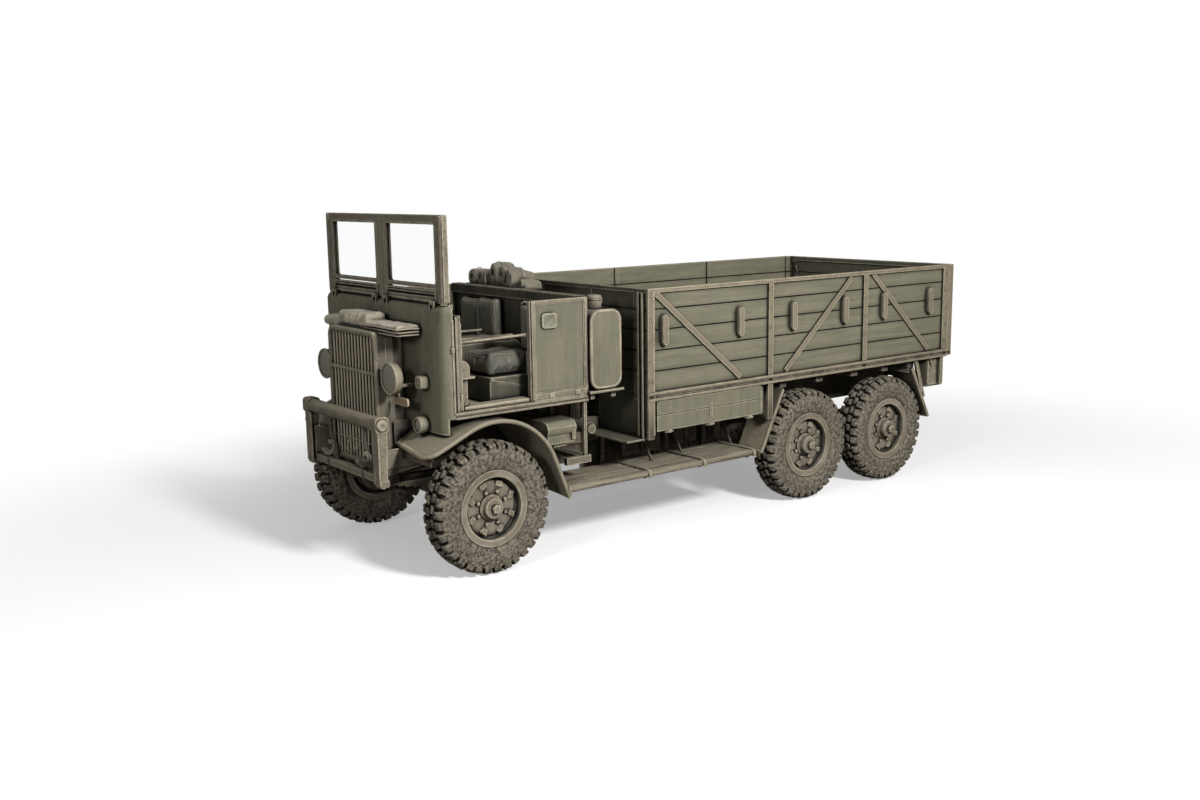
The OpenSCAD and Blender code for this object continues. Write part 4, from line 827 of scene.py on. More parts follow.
def bolts(points, normal, radius=0.011, height=0.008):
    return scatter([hex_head(radius, height)], [facing(point, normal, 0.3) for point in points])


# ---------------------------------------------------------------- tyres and wheels

TYRE_R = (TYRE_BOX["front_left"][1].x - TYRE_BOX["front_left"][0].x) / 2
TYRE_HALF = (TYRE_BOX["front_left"][1].y - TYRE_BOX["front_left"][0].y) / 2
LUG_ROWS = 34
CASING = [(0.307, -0.1), (0.318, -0.112), (0.352, -0.126), (0.402, -0.134), (0.446, -0.13),
          (0.47, -0.118), (0.486, -0.09), (0.492, -0.04), (0.493, 0.0)]


def lump(low, high, seed):
    """A tread block: a box with broken edges and an uneven face."""
    return chip(block(low, high, 0.01, 1), 1, 0.006, seed)


def lap_side_wall(shoulder, shift):
    """Lowers and narrows a shoulder block where it runs down the side wall."""
    edit(shoulder)
    shape = bmesh.from_edit_mesh(shoulder.data)
    for vertex in shape.verts:
        drop = max(0.0, abs(vertex.co.y) - 0.085)
        vertex.co.z -= drop * 0.45
        if vertex.co.z < 0.47:
            vertex.co.x = shift + (vertex.co.x - shift) * 0.8
    bmesh.update_edit_mesh(shoulder.data)
    leave_edit()


def tread_row(seed):
    """One row across the tread: two shoulder blocks that lap the side wall and two crown blocks."""
    half, top = 0.033, TYRE_R - 0.004
    draw = random.Random(seed)
    made = []
    for side in (-1, 1):
        shift = draw.uniform(-0.006, 0.006) + side * 0.012
        inner, outer = sorted((side * 0.062, side * (TYRE_HALF - 0.01)))
        shoulder = lump((shift - half, inner, 0.452), (shift + half, outer, top - 0.004), seed + side)
        lap_side_wall(shoulder, shift)
        inner, outer = sorted((side * 0.006, side * 0.054))
        crown = lump((-shift - half, inner, 0.484), (-shift + half, outer, top), seed + 7 + side)
        made += [shoulder, crown]
    return join(made)


def build_tyre():
    """The front left tyre: a casing with rows of heavy tread blocks."""
    centre = HUB["front_left"]
    outline = CASING + [(radius, -along) for radius, along in reversed(CASING[:-1])]
    inner = [(0.3, 0.096), (0.285, 0.08), (0.285, -0.08), (0.3, -0.096), CASING[0]]
    casing = lathe(centre, LEFT, outline + inner, 96)
    turns = [Matrix.Rotation(index * math.tau / LUG_ROWS + math.pi, 4, "Y") for index in range(LUG_ROWS)]
    rows = [tread_row(seed) for seed in (11, 23, 37)]
    tread = scatter(rows, [Matrix.Translation(centre) @ turn for turn in turns])
    return join([casing, tread])


def build_wheel_face(top):
    """Pressed wheel centre for the front left, with pads, nuts and a hub that ends under the given reach."""
    centre = HUB["front_left"]
    pads, nuts = [], []
    for index in range(8):
        turn = Matrix.Rotation((index + 0.5) * math.tau / 8, 4, "Y")
        pads.append(Matrix.Translation(centre) @ turn @ facing((0.0, 0.049, 0.196), LEFT, index * 0.9))
        nuts.append(facing(centre + turn @ Vector((0.0, 0.049, 0.134)), LEFT, index * 0.4))
    pad = chip(block((-0.034, -0.026, -0.004), (0.034, 0.026, 0.02), 0.012, 2), 1, 0.008, 5)
    dish = [(0.1, 0.026), (0.1, 0.044), (0.116, 0.052), (0.15, 0.05), (0.176, 0.054), (0.206, 0.052),
            (0.226, 0.042), (0.24, 0.036), (0.249, 0.04), (0.249, 0.024)]
    hub = [(0.104, 0.04), (0.104, 0.062), (0.092, 0.068), (0.084, 0.074), (0.084, top - 0.052),
           (0.078, top - 0.04), (0.058, top - 0.034), (0.044, top - 0.033), (0.0, top - 0.033)]
    rim = [(0.25, 0.06), (0.25, 0.1), (0.256, 0.108), (0.27, 0.11), (0.29, 0.109), (0.304, 0.112),
           (0.311, 0.106), (0.311, 0.094), (0.303, 0.088)]
    made = [lathe(centre, LEFT, outline, steps) for outline, steps in ((dish, 64), (hub, 40), (rim, 80))]
    made += [scatter([pad], pads), scatter([hex_head(0.017, 0.02)], nuts)]
    made.append(scatter([hex_head(0.04, 0.028)], [facing(centre + Vector((0, top - 0.034, 0)), LEFT, 0.2)]))
    valve = centre + Vector((0.228, 0.05, 0.0))
    made.append(rod(valve, valve + Vector((0.0, 0.036, 0.0)), 0.006, 8))
    return join(made)


def add_wheels():
    """Builds one tyre and two wheel centres, and copies them to the six wheels."""
    tyre = build_tyre()
    faces = {"front": build_wheel_face(0.15), "mid": build_wheel_face(0.168)}
    faces["rear"] = faces["mid"]
    for wheel in WHEELS:
        axle, side = wheel.split("_")
        move = Vector((HUB[wheel].x - FRONT_X, 0, 0))
        flip = side == "right"
        rubber = fit([twin(tyre, move, flip)], "tread_tyre_" + wheel, "rubber", 30.0, "wheel_" + wheel)
        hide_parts("tyre_" + wheel)
        fit([twin(faces[axle], move, flip)], "wheel_face_" + wheel, "wheel", body="wheel_" + wheel)
    for model in (tyre, faces["front"], faces["rear"]):
        bpy.data.objects.remove(model)


# ---------------------------------------------------------------- load body

BODY_FRONT_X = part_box("cargo_side_left")[1][0]
BODY_REAR_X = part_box("cargo_side_left")[0][0]
BODY_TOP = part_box("cargo_side_left")[1][2]


def add_body_fittings():
    """Rope cleats, rounded rails, post bolts and the corner irons of the load body."""
    back, front, top = BODY_REAR_X, BODY_FRONT_X, BODY_TOP
    irons = [strut((back, 1.122, top - 0.012), (front, 1.122, top - 0.012), 0.03, 0.036, bevel=0.01),
             strut((front - 0.066, 1.128, 0.9), (front - 0.066, 1.128, top - 0.03), 0.01, 0.02, bevel=0.003),
             strut((back + 0.086, 1.126, PLANK_Z), (back + 0.086, 1.126, top - 0.03), 0.016, 0.022)]
    irons += [block((front - 0.01, y, 0.875), (front + 0.012, y + 0.024, top - 0.03), 0.006)
              for y in (1.0, 1.05)]
    irons += [strut((back + 0.012, 1.134, z), (front - 0.006, 1.134, z), 0.024, 0.022, bevel=0.007)
              for z in (1.26, 1.207)]
    cleats = [plate((front - offset, 1.12, 1.792), LEFT, 0.062, 0.256, 0.028, 0.0454, bevel=0.01)
              for offset in (0.172, 1.06, 1.738, 2.446, 3.02, 3.736)]
    spots = [(x + shift, 1.136, PLANK_Z + (row + 0.5) * PLANK_H)
             for x in (front - 0.031, front - 1.455, front - 2.755, back + 0.037)
             for row in range(5) for shift in (-0.014, 0.014)]
    fit(irons, "body_irons", "rusty", mirror=True)
    fit(cleats, "rope_cleats", "frame", mirror=True)
    fit([bolts(spots, LEFT, 0.008, 0.006)], "post_bolts", "rusty", mirror=True)


def add_running_boards():
    """Rough slats with rounded straps over the joints and a rolled outer edge."""
    draw = random.Random(41)
    joints = [FRONT_X - 0.706 - offset for offset in (0.0, 0.85, 1.48, 2.096)]
    slats, straps = [], []
    for front, back in zip(joints, joints[1:]):
        for row in range(6):
            inner = 0.604 + row * 0.079
            lift = draw.uniform(-0.002, 0.003)
            slat = block((back + 0.02, inner, 0.57), (front - 0.02, inner + 0.073, 0.591 + lift), 0.006, 1)
            slats.append(chip(slat, 4, 0.0022, draw.randrange(1000)))
        slats.append(rod((back + 0.01, 1.08, 0.57), (front - 0.01, 1.08, 0.57), 0.024, 12, 0.006))
    for x in joints:
        run = [(x, 0.596, 0.56), (x, 0.6, 0.588), (x, 0.66, 0.594), (x, 0.85, 0.592), (x, 1.03, 0.596),
               (x, 1.09, 0.59), (x, 1.108, 0.566), (x, 1.1, 0.54)]
        straps.append(pipe(run, 0.019, sides=3))
        straps.append(ring((x, 1.092, 0.566), FRONT, 0.02, 0.014, 16, 6))
    fit(slats, "step_slats", "steps", 40.0, mirror=True)
    fit(straps, "step_straps", "frame", 40.0, mirror=True)


def add_underside():
    """Near-black splash boards, partly sheets of painted shade that close the gaps under the body, and tool
    chests and hangers in the dark space under it.
    """
    sheets = (((-0.58, 0.404, 0.49), (1.12, 0.412, 0.84)),
              ((1.1, 0.398, 0.6), (1.88, 0.406, 1.245)),
              ((-3.05, 0.398, 0.9), (-0.6, 0.406, 1.124)),
              ((1.88, 0.432, 0.79), (2.95, 0.44, 1.2)),
              ((1.92, 0.35, 0.6), (2.92, 0.358, 0.8)),
              ((2.925, 0.44, 0.915), (2.931, 0.96, 1.035)),
              ((-3.026, 0.404, 0.93), (-3.02, 0.8, 1.224)))
    # Near-black sheets: splash boards, and painted shade closing the gaps under the body.
    parts = [block(low, high, 0.002, 1) for low, high in sheets]
    parts += [block((x, 0.411, 0.495), (x + 0.022, 0.424, 0.835), 0.004, 1)
              for x in (-0.5, -0.2, 0.1, 0.4, 0.7, 1.0)]
    parts.append(block((2.8, 0.408, 0.82), (2.808, 0.54, 1.16), 0.003, 1))
    parts.append(strut((-0.58, 0.418, 0.505), (1.12, 0.418, 0.505), 0.026, 0.014))
    fit(parts, "splash_and_shade_boards", "black", 30.0, mirror=True)
    chests = []
    for low, high in (((0.34, 0.47, 0.62), (0.78, 0.6, 0.88)), ((-0.12, 0.47, 0.64), (0.14, 0.585, 0.88))):
        long, deep, tall = Vector(high) - Vector(low)
        x = low[0] + long / 2
        chests.append(plate((x, low[1], low[2] + tall / 2), LEFT, long, tall, 0.03, deep, 0.018, 0.006, 0.006))
        chests.append(block((x - 0.016, low[1], low[2] - 0.006), (x + 0.016, high[1] + 0.006, high[2] + 0.004)))
    fit(chests, "tool_chests", "iron")
    hangers = []
    for x in (0.62, 0.2575, -0.3585):
        hangers.append(block((x - 0.02, 0.585, 0.545), (x + 0.02, 0.596, 0.918), 0.003, 1))
        hangers.append(strut((x, 0.6, 0.9), (x, 0.8, 0.6), 0.03, 0.01, FRONT, 0.003))
    fit(hangers, "step_hangers", "iron", 30.0, mirror=True)


def add_flap_edges():
    """Rolled edges on the plates ahead of and behind the rear wheels, and their stays."""
    parts = []
    mid_x, rear_x = HUB["mid_left"].x, HUB["rear_left"].x
    for top_x, foot_x, foot_z in ((mid_x + 0.4, mid_x + 0.67, 0.566), (rear_x - 0.314, rear_x - 0.59, 0.594)):
        parts += [strut((top_x, 1.108, 1.114), (foot_x, 1.108, foot_z), 0.03, 0.03, bevel=0.009),
                  strut((top_x, 0.83, 1.114), (foot_x, 0.83, foot_z), 0.022, 0.022, bevel=0.007),
                  strut((foot_x, 0.82, foot_z), (foot_x, 1.12, foot_z), 0.026, 0.026, FRONT, 0.009)]
    parts.append(strut((rear_x - 0.388, 1.106, 1.185), (rear_x - 0.52, 1.106, 0.8), 0.026, 0.024,
                       bevel=0.006))
    fit(parts, "flap_edges", "frame", mirror=True)


# ---------------------------------------------------------------- cab

CAB_Y = 0.999
CAB_BACK_X = 1.4595
DOOR_REAR_X = 2.0095
DOOR_FRONT_X = 2.7035
CAB_TOP = 2.11
SILL_TOP = 1.308
HATCH_X, HATCH_Z = 1.8395, 1.944


def add_cab_sides():
    """Raised borders, hatch cover, hinges, door kerb and the door-post seam of the cab."""
    y = CAB_Y - 0.004
    low, high = SILL_TOP + 0.014, CAB_TOP - 0.014
    front, back, door = DOOR_REAR_X - 0.014, CAB_BACK_X + 0.014, DOOR_FRONT_X
    bars = (((back, y, high), (front, y, high), 0.028, 0.02, 0.007),
            ((front, y, low), (front, y, high + 0.012), 0.028, 0.022, 0.007),
            ((back, y, low), (back, y, high + 0.012), 0.03, 0.022, 0.007),
            ((back, y, low + 0.024), (front, y, low + 0.024), 0.05, 0.018, 0.005),
            ((back, y, low - 0.008), (front, y, low - 0.008), 0.016, 0.024, 0.005),
            ((door + 0.024, y, 1.3), (door + 0.024, y, 2.02), 0.016, 0.02, 0.005),
            ((door - 0.012, y - 0.01, 1.3), (door - 0.012, y - 0.01, 2.04), 0.022, 0.024, 0.007),
            ((CAB_BACK_X, y + 0.002, 1.298), (door + 0.02, y + 0.002, 1.298), 0.022, 0.026, 0.008),
            ((CAB_BACK_X, y + 0.002, 1.266), (door + 0.02, y + 0.002, 1.266), 0.018, 0.022, 0.006))
    borders = [strut(start, end, width, depth, bevel=bevel) for start, end, width, depth, bevel in bars]
    borders.append(block((door + 0.016, y, 1.77), (door + 0.044, y + 0.022, 1.812), 0.006))
    fit(borders, "cab_borders", "frame", mirror=True)
    kerb = block((DOOR_REAR_X + 0.01, 0.862, SILL_TOP - 0.004), (door - 0.07, y - 0.012, SILL_TOP + 0.036),
                 0.01, 3)
    fit([roughen(kerb, 0.05, 0.003, 1)], "door_kerbs", "deck", 40.0, mirror=True)
    parts = [plate((HATCH_X, y - 0.004, HATCH_Z), LEFT, 0.146, 0.124, 0.026, 0.022, 0.014, 0.004, 0.006)]
    for x in (1.8, 1.545):
        parts.append(block((x, y, low + 0.002), (x + 0.052, y + 0.016, low + 0.046), 0.006))
        parts += [ring((knob_x, y + 0.014, low + 0.024), LEFT, 0.007, 0.004, 12, 6)
                  for knob_x in (x + 0.014, x + 0.038)]
    screws = [(HATCH_X + dx, y + 0.016, HATCH_Z + dz) for dx in (-0.052, 0.052) for dz in (-0.042, 0.042)]
    fit(parts + [bolts(screws, LEFT, 0.006, 0.004)], "hatch_covers", "pale", mirror=True)


def add_tanks():
    """Fuel tanks with a rolled rim, a pale face, a filler can and a rail below them."""
    (back, _, low), (front, _, _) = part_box("fuel_tank")
    long, tall = front - back, 0.65
    x, z = (back + front) / 2, low + tall / 2
    rims = [hoop((x, 1.027, z), LEFT, long - 0.02, tall - 0.02, 0.085, 0.014),
            hoop((x, 0.8, z), LEFT, long - 0.014, tall - 0.014, 0.085, 0.008),
            hoop((x, 0.64, z), LEFT, long - 0.014, tall - 0.014, 0.085, 0.008)]
    can = [(0.062, -0.02), (0.062, 0.05), (0.056, 0.062), (0.064, 0.068), (0.066, 0.084), (0.058, 0.1),
           (0.03, 0.108), (0.0, 0.109)]
    rims.append(lathe((x - 0.045, 0.82, low + tall), UP, can, 32))
    fit(rims, "tank_rims", "frame", 40.0, mirror=True)
    face = plate((x, 1.016, z), LEFT, long - 0.058, tall - 0.058, 0.07, 0.014)
    fit([face], "tank_faces", "pale", mirror=True)
    rail = rod((back - 0.012, 1.04, low - 0.02), (front + 0.02, 1.04, low - 0.02), 0.013, 12)
    fit([rail], "tank_rails", "frame", 40.0, mirror=True)


def add_cab_inside():
    """Grab rails, levers, pedals, dials and small fittings inside the cab."""
    rails = [rod((2.655, 0.932, 1.832), (2.02, 0.932, 1.842), 0.011, 12),
             ring((2.03, 0.932, 1.842), FRONT, 0.013, 0.006, 16, 6),
             ring((2.63, 0.932, 1.832), FRONT, 0.013, 0.006, 16, 6),
             block((2.65, 0.972, 1.395), (2.668, 0.994, 1.45), 0.005),
             block((2.64, 0.972, 1.436), (2.69, 0.99, 1.446), 0.003)]
    fit(rails, "grab_rails", "frame", 40.0, mirror=True)
    knob = [(0.0, 0.0), (0.014, 0.002), (0.022, 0.014), (0.022, 0.026), (0.012, 0.038), (0.0, 0.04)]
    boot = [(0.05, 0.0), (0.044, 0.012), (0.03, 0.022), (0.026, 0.04), (0.012, 0.05), (0.0, 0.05)]
    levers = [pipe([(2.4, -0.2, 1.7), (2.38, -0.21, 1.8), (2.3, -0.23, 1.92), (2.24, -0.25, 2.0)], 0.009),
              pipe([(2.2, -0.24, 1.74), (2.19, -0.27, 1.84), (2.16, -0.29, 1.94)], 0.008),
              lathe((2.24, -0.25, 1.995), (-0.4, -0.1, 1), knob, 16),
              lathe((2.4, -0.2, 1.715), UP, boot, 20)]
    for y in (-0.7, -0.59, -0.46):
        levers.append(plate((2.6, y, 1.43), (-0.9, 0, 0.35), 0.062, 0.08, 0.012, 0.01, 0.006, 0.002))
        levers.append(pipe([(2.605, y, 1.425), (2.64, y, 1.36), (2.69, y, 1.33)], 0.007))
    fit(levers, "cab_levers", "black", 40.0)
    bezels, faces = [], []
    for y, radius in ((-0.66, 0.05), (-0.52, 0.05), (-0.38, 0.04), (0.3, 0.03), (0.42, 0.03)):
        tip = (2.592, y + radius * 0.5, 1.935 + radius * 0.5)
        bezels.append(ring((2.596, y, 1.935), REAR, radius, 0.006, 28, 6))
        bezels.append(strut((2.592, y, 1.925), tip, 0.003, 0.002, FRONT, 0.0))
        faces.append(lathe((2.597, y, 1.935), REAR, [(radius, 0.0), (radius * 0.7, 0.003), (0.0, 0.004)], 24))
    fit(bezels, "dial_bezels", "lamp", 40.0)
    fit(faces, "dial_glasses", "dial", 40.0)


# ---------------------------------------------------------------- front

def add_lamps():
    """Headlamps, side lamps, low lamps and tail lamps with their glasses, and the blank marker plate."""
    head, side, low = (2.9615, 0.554, 1.559), (2.8725, 0.712, 1.526), (2.8765, 0.688, 1.192)
    tail = (BODY_REAR_X + 0.058, 1.01, 1.02)
    head_shell = [(0.0, -0.004), (0.06, 0.0), (0.108, 0.012), (0.119, 0.028), (0.12, 0.06), (0.126, 0.064),
                  (0.128, 0.074), (0.124, 0.083), (0.116, 0.085), (0.11, 0.08), (0.11, 0.068)]
    head_glass = [(0.112, 0.073), (0.09, 0.079), (0.06, 0.084), (0.025, 0.087), (0.0, 0.087)]
    low_shell = [(0.0, -0.068), (0.062, -0.066), (0.066, -0.03), (0.067, 0.0), (0.06, 0.01), (0.05, 0.01),
                 (0.044, 0.002), (0.044, -0.006)]
    low_glass = [(0.046, -0.002), (0.03, 0.006), (0.014, 0.01), (0.0, 0.011)]
    tail_shell = [(0.0, -0.01), (0.044, -0.01), (0.045, 0.052), (0.04, 0.058), (0.034, 0.056)]
    metal = [lathe(head, FRONT, head_shell, 48),
             plate((2.8085, 0.712, 1.526), FRONT, 0.1, 0.1, 0.026, 0.07, 0.01, 0.004, 0.008),
             ring((2.872, 0.712, 1.526), FRONT, 0.026, 0.006, 24, 6),
             lathe(low, FRONT, low_shell, 32),
             block((2.8025, 0.54, 1.48), (3.008, 0.568, 1.504), 0.006),
             block((2.964, 0.54, 1.47), (3.004, 0.568, 1.492), 0.004),
             rod((2.952, 0.545, 1.432), (2.952, 0.545, 1.396), 0.009, 10),
             strut((2.984, 0.554, 1.5), (2.996, 0.554, 1.45), 0.036, 0.03, bevel=0.008),
             lathe(tail, REAR, tail_shell, 24)]
    glasses = [lathe(head, FRONT, head_glass, 40),
               lathe(side, FRONT, [(0.026, -0.004), (0.018, 0.006), (0.0, 0.01)], 24),
               lathe(low, FRONT, low_glass, 28),
               lathe(tail, REAR, [(0.036, 0.054), (0.02, 0.06), (0.0, 0.062)], 20)]
    shells = fit(metal, "lamp_shells", "lamp", 40.0, mirror=True)
    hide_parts("lamps")
    fit(glasses, "lamp_glasses", "lens", 40.0, mirror=True)
    marker = plate((2.946, 0.58, 1.374), FRONT, 0.22, 0.064, 0.022, 0.014, 0.01, 0.003)
    fit([marker], "marker_plate", "plate")


def add_radiator_trim():
    """Thick rounded surround, cross bar caps and a row of worn flecks low in the grille."""
    (_, _, low), (front, half, high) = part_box("radiator")
    middle, tall = (low + high) / 2, high - low
    parts = [hoop((front - 0.014, 0.0, middle), FRONT, 2 * half - 0.04, tall - 0.04, 0.06, 0.024, 4),
             hoop((front - 0.09, 0.0, middle), FRONT, 2 * half - 0.01, tall - 0.01, 0.064, 0.008),
             rod((front - 0.002, -half + 0.04, 1.573), (front - 0.002, half - 0.04, 1.573), 0.01, 10),
             rod((front - 0.012, -half + 0.05, 1.0), (front - 0.012, half - 0.05, 1.0), 0.007, 8)]
    fit(parts, "grille_surround", "frame", 40.0)
    draw = random.Random(63)
    flecks = []
    for _ in range(26):
        y, z = draw.uniform(-0.3, 0.3), draw.uniform(0.86, 0.99)
        end = (front - 0.004, y + draw.uniform(-0.02, 0.02), z + draw.uniform(0.02, 0.05))
        flecks.append(strut((front - 0.004, y, z), end, 0.012, 0.01, FRONT))
    fit([roughen(join(flecks), 0.05, 0.006)], "grille_flecks", "rusty", 40.0)


def add_bumper_details():
    """Clamp bosses, rough faces, gussets and feet of the bumper's posts, and the tow hooks."""
    boss = [(0.05, 0.0), (0.05, 0.012), (0.042, 0.022), (0.03, 0.022), (0.024, 0.014), (0.012, 0.016),
            (0.0, 0.018)]
    face = plate((3.1805, 0.59, 0.965), FRONT, 0.108, 0.44, 0.018, 0.02, 0.014, 0.005, 0.004)
    gusset = plate((2.9645, 0.546, 0.93), LEFT, 0.3, 0.15, 0.02, 0.01, 0.01, 0.003)
    foot = block((3.1045, 0.545, 0.724), (3.1945, 0.64, 0.79), 0.016, 3)
    clamps = [lathe((3.1645, 0.636, 1.222), LEFT, boss, 32), roughen(face, 0.035, 0.007, 2),
              roughen(gusset, 0.035, 0.008, 2), roughen(foot, 0.04, 0.01, 1)]
    fit(clamps, "bumper_clamps", "wheel", 40.0, mirror=True)
    hooks = []
    for y in (-0.3, 0.3):
        bend = [(3.1385, y, 1.18), (3.1365, y, 1.06), (3.1285, y, 0.97), (3.0985, y, 0.905), (3.1385, y, 0.852),
                (3.1925, y, 0.872), (3.1985, y, 0.905)]
        hooks.append(pipe(bend, 0.017, sides=3))
        hooks.append(block((3.1245, y - 0.03, 0.75), (3.1705, y + 0.03, 0.824), 0.008))
    fit(hooks, "tow_hooks", "iron", 40.0)


def add_screen_fittings():
    """Round posts, double sash lines, corner irons and dark vents on the folding windscreen."""
    (_, _, low), (_, half, high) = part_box("windscreen_frame")
    x = 2.7435
    trim, vents = [], []
    for y in (-0.926, 0.926):
        trim.append(rod((x, y, low + 0.004), (x, y, high - 0.006), 0.034, 20, 0.004))
        trim.append(block((x - 0.012, y - 0.034, high - 0.06), (x + 0.026, y + 0.036, high - 0.002), 0.014, 3))
    trim.append(rod((x + 0.012, 0.0, low + 0.004), (x + 0.012, 0.0, high - 0.03), 0.016, 12))
    trim.append(rod((x, -half + 0.02, high - 0.024), (x, half - 0.02, high - 0.024), 0.021, 14))
    for middle in (-0.46, 0.46):
        right, left = middle - 0.4, middle + 0.4
        centre = (x + 0.018, middle, (low + high) / 2 + 0.01)
        trim.append(hoop(centre, FRONT, 0.8, high - low - 0.15, 0.03, 0.007))
        trim += [rod((x + 0.022, right, z), (x + 0.022, left, z), 0.008, 8) for z in (low + 0.105, low + 0.03)]
        trim += [block((x + 0.012, y - 0.014, low + 0.028), (x + 0.03, y + 0.014, low + 0.11), 0.005)
                 for y in (middle - 0.385, middle + 0.385)]
        vents.append(block((x - 0.004, right, low + 0.026), (x + 0.004, left, low + 0.112), 0.002))
    fit(trim, "screen_trim", "frame", 40.0, body="windscreen")
    fit(vents, "screen_vents", "black", 40.0, body="windscreen")


def add_gear_details():
    """Spring clips, shackles, backing plates and ribbed differential rings."""
    springs = []
    for x in (FRONT_X, (HUB["mid_left"].x + HUB["rear_left"].x) / 2):
        bend = [(0.392, 0.54), (0.39, 0.69), (0.392, 0.705), (0.43, 0.712), (0.468, 0.705), (0.47, 0.69),
                (0.468, 0.54)]
        springs += [pipe([(clip_x, y, z) for y, z in bend], 0.009) for clip_x in (x - 0.05, x + 0.05)]
        springs.append(plate((x, 0.43, 0.535), DOWN, 0.15, 0.11, 0.016, 0.014, 0.008, 0.003))
    fit(springs, "spring_clips", "iron", 40.0, mirror=True)
    outline = [(0.06, 0.02), (0.12, 0.03), (0.176, 0.026), (0.2, 0.018), (0.204, 0.0), (0.196, -0.012),
               (0.15, -0.014), (0.06, -0.012)]
    for side, sign in (("left", 1), ("right", -1)):
        drum = lathe((FRONT_X, sign * 0.8, AXLE_Z), (0, sign, 0), outline)
        fit([drum], "brake_plate_front_" + side, "iron", body="knuckle_" + side)
    drums = []
    for x in (HUB["mid_left"].x, HUB["rear_left"].x):
        turns = [Matrix.Rotation(index * math.tau / 8, 4, "X") for index in range(8)]
        rib = block((-0.12, -0.006, 0.06), (0.12, 0.006, 0.165))
        drums.append(lathe((x, 0.79, AXLE_Z), LEFT, outline))
        drums.append(scatter([rib], [Matrix.Translation((x, 0.0, AXLE_Z)) @ turn for turn in turns]))
        drums.append(ring((x, 0.0, AXLE_Z), FRONT, 0.15, 0.012))
    fit(drums, "bogie_details", "iron", mirror=True)


def add_tail_fittings():
    """Chains, catches and bolts of the tailgate, and the worn boxes below it."""
    back, top = BODY_REAR_X, BODY_TOP
    irons = []
    for side in (-1, 1):
        y = side * 0.986
        irons.append(ring((back - 0.018, y, top - 0.118), LEFT, 0.02, 0.005, 16, 6))
        link = ring((0, 0, 0), LEFT, 0.015, 0.0042, 12, 6)
        link.data.transform(Matrix.Scale(1.5, 4, UP))
        places = []
        for index in range(10):
            hang = Vector((back - 0.026, y + side * 0.006 * index, top - 0.16 - 0.038 * index))
            places.append(Matrix.Translation(hang) @ Matrix.Rotation(index * math.pi / 2, 4, "Z"))
        irons.append(scatter([link], places))
        irons.append(rod((back - 0.02, side * 1.02, top - 0.06), (back - 0.02, side * 1.12, top - 0.06),
                         0.011, 12))
        bend = [(back - 0.02, side * 1.04, top - 0.06), (back - 0.046, side * 1.04, top - 0.064),
                (back - 0.06, side * 1.042, top - 0.09)]
        irons.append(pipe(bend, 0.008))
    low_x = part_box("tailgate")[0][0]
    irons.append(bolts([(low_x + 0.009, y + shift, z) for y in (-0.76, 0.0, 0.76) for shift in (-0.02, 0.02)
                        for z in (1.36, 1.56, 1.76, 1.9)], REAR, 0.009, 0.006))
    fit(irons, "tailgate_irons", "rusty", 40.0, body="tailgate")
    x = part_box("mud_flaps")[0][0]
    crate = [strut((x + 0.004, y, 0.905), (x + 0.2, y + 0.06, 1.19), 0.012, 0.012) for y in (0.952, 1.058)]
    crate.append(plate((x + 0.108, 1.084, 1.06), LEFT, 0.196, 0.3, 0.022, 0.016, 0.014, 0.005))
    crate.append(roughen(block((x + 0.004, 1.088, 0.9), (x + 0.044, 1.13, 1.18), 0.012, 3), 0.05, 0.008, 1))
    fit(crate, "tail_boxes", "frame", mirror=True)


# ---------------------------------------------------------------- wings

WING_HUB = (2.4235, 0.64)
WING_R = 0.593
WING_FRONT, WING_REAR = math.radians(66.0), math.radians(158.0)


def wing_line(radius, front_run=0.398, rear_run=0.372, steps=22):
    """Side view of the wing from its front lip over the wheel to its foot."""
    spots = []
    for turn, run, way in ((WING_FRONT, front_run, 1), (WING_REAR, rear_run, -1)):
        foot = (WING_HUB[0] + radius * math.cos(turn), WING_HUB[1] + radius * math.sin(turn))
        ahead = (way * math.sin(turn), -way * math.cos(turn))
        cuts = [(foot[0] + ahead[0] * run * part, foot[1] + ahead[1] * run * part) for part in
                (1.0, 0.92, 0.84, 0.72, 0.58, 0.4, 0.2)]
        spots.append(cuts if way > 0 else cuts[::-1])
    arch = [(WING_HUB[0] + radius * math.cos(turn), WING_HUB[1] + radius * math.sin(turn)) for turn in
            (WING_FRONT + (WING_REAR - WING_FRONT) * step / steps for step in range(steps + 1))]
    return spots[0] + arch + spots[1]


def swept(line, row, part):
    """How far the front edge runs back and up towards the frame."""
    along = math.hypot(line[row][0] - line[0][0], line[row][1] - line[0][1])
    fade = (1.0 - part) * max(0.0, 1.0 - along / 0.3)
    return 0.095 * fade, 0.012 * fade


def wing_edge(line):
    """Points of the wing's outer edge along its line, cut round at the front corner."""
    corner, outer = 0.11, 1.092
    edge = []
    for index, (x, z) in enumerate(line):
        short = max(0.0, corner - math.hypot(x - line[0][0], z - line[0][1]))
        cut = corner - math.sqrt(max(0.0, corner ** 2 - short ** 2)) if index < 8 else 0.0
        edge.append((x, outer - cut, z))
    return edge


def wing_sheet(line, edge, inner, columns=9):
    """A crowned sheet between the frame and the edge, droopy along its outside."""
    rows = len(line)
    clear()
    bpy.ops.mesh.primitive_grid_add(x_subdivisions=rows - 1, y_subdivisions=columns - 1, size=1.0)
    sheet = bpy.context.object
    order = sorted(sheet.data.vertices, key=lambda vertex: (round(vertex.co.x, 4), vertex.co.y))
    for count, vertex in enumerate(order):
        row, column = divmod(count, columns)
        part = column / (columns - 1)
        x, reach, z = edge[row]
        crown = 0.018 * math.sin(math.pi * min(1.0, part * 1.1))
        back, rise = swept(line, row, part)
        height = z + rise - 0.006 + crown * 0.3 - 0.016 * part ** 4
        vertex.co = (x - back, inner + (reach - inner) * part, height)
    edit(sheet)
    bpy.ops.mesh.normals_make_consistent(inside=False)
    leave_edit()
    apply_modifier(sheet, "SOLIDIFY", thickness=0.01, offset=0.0)
    return sheet


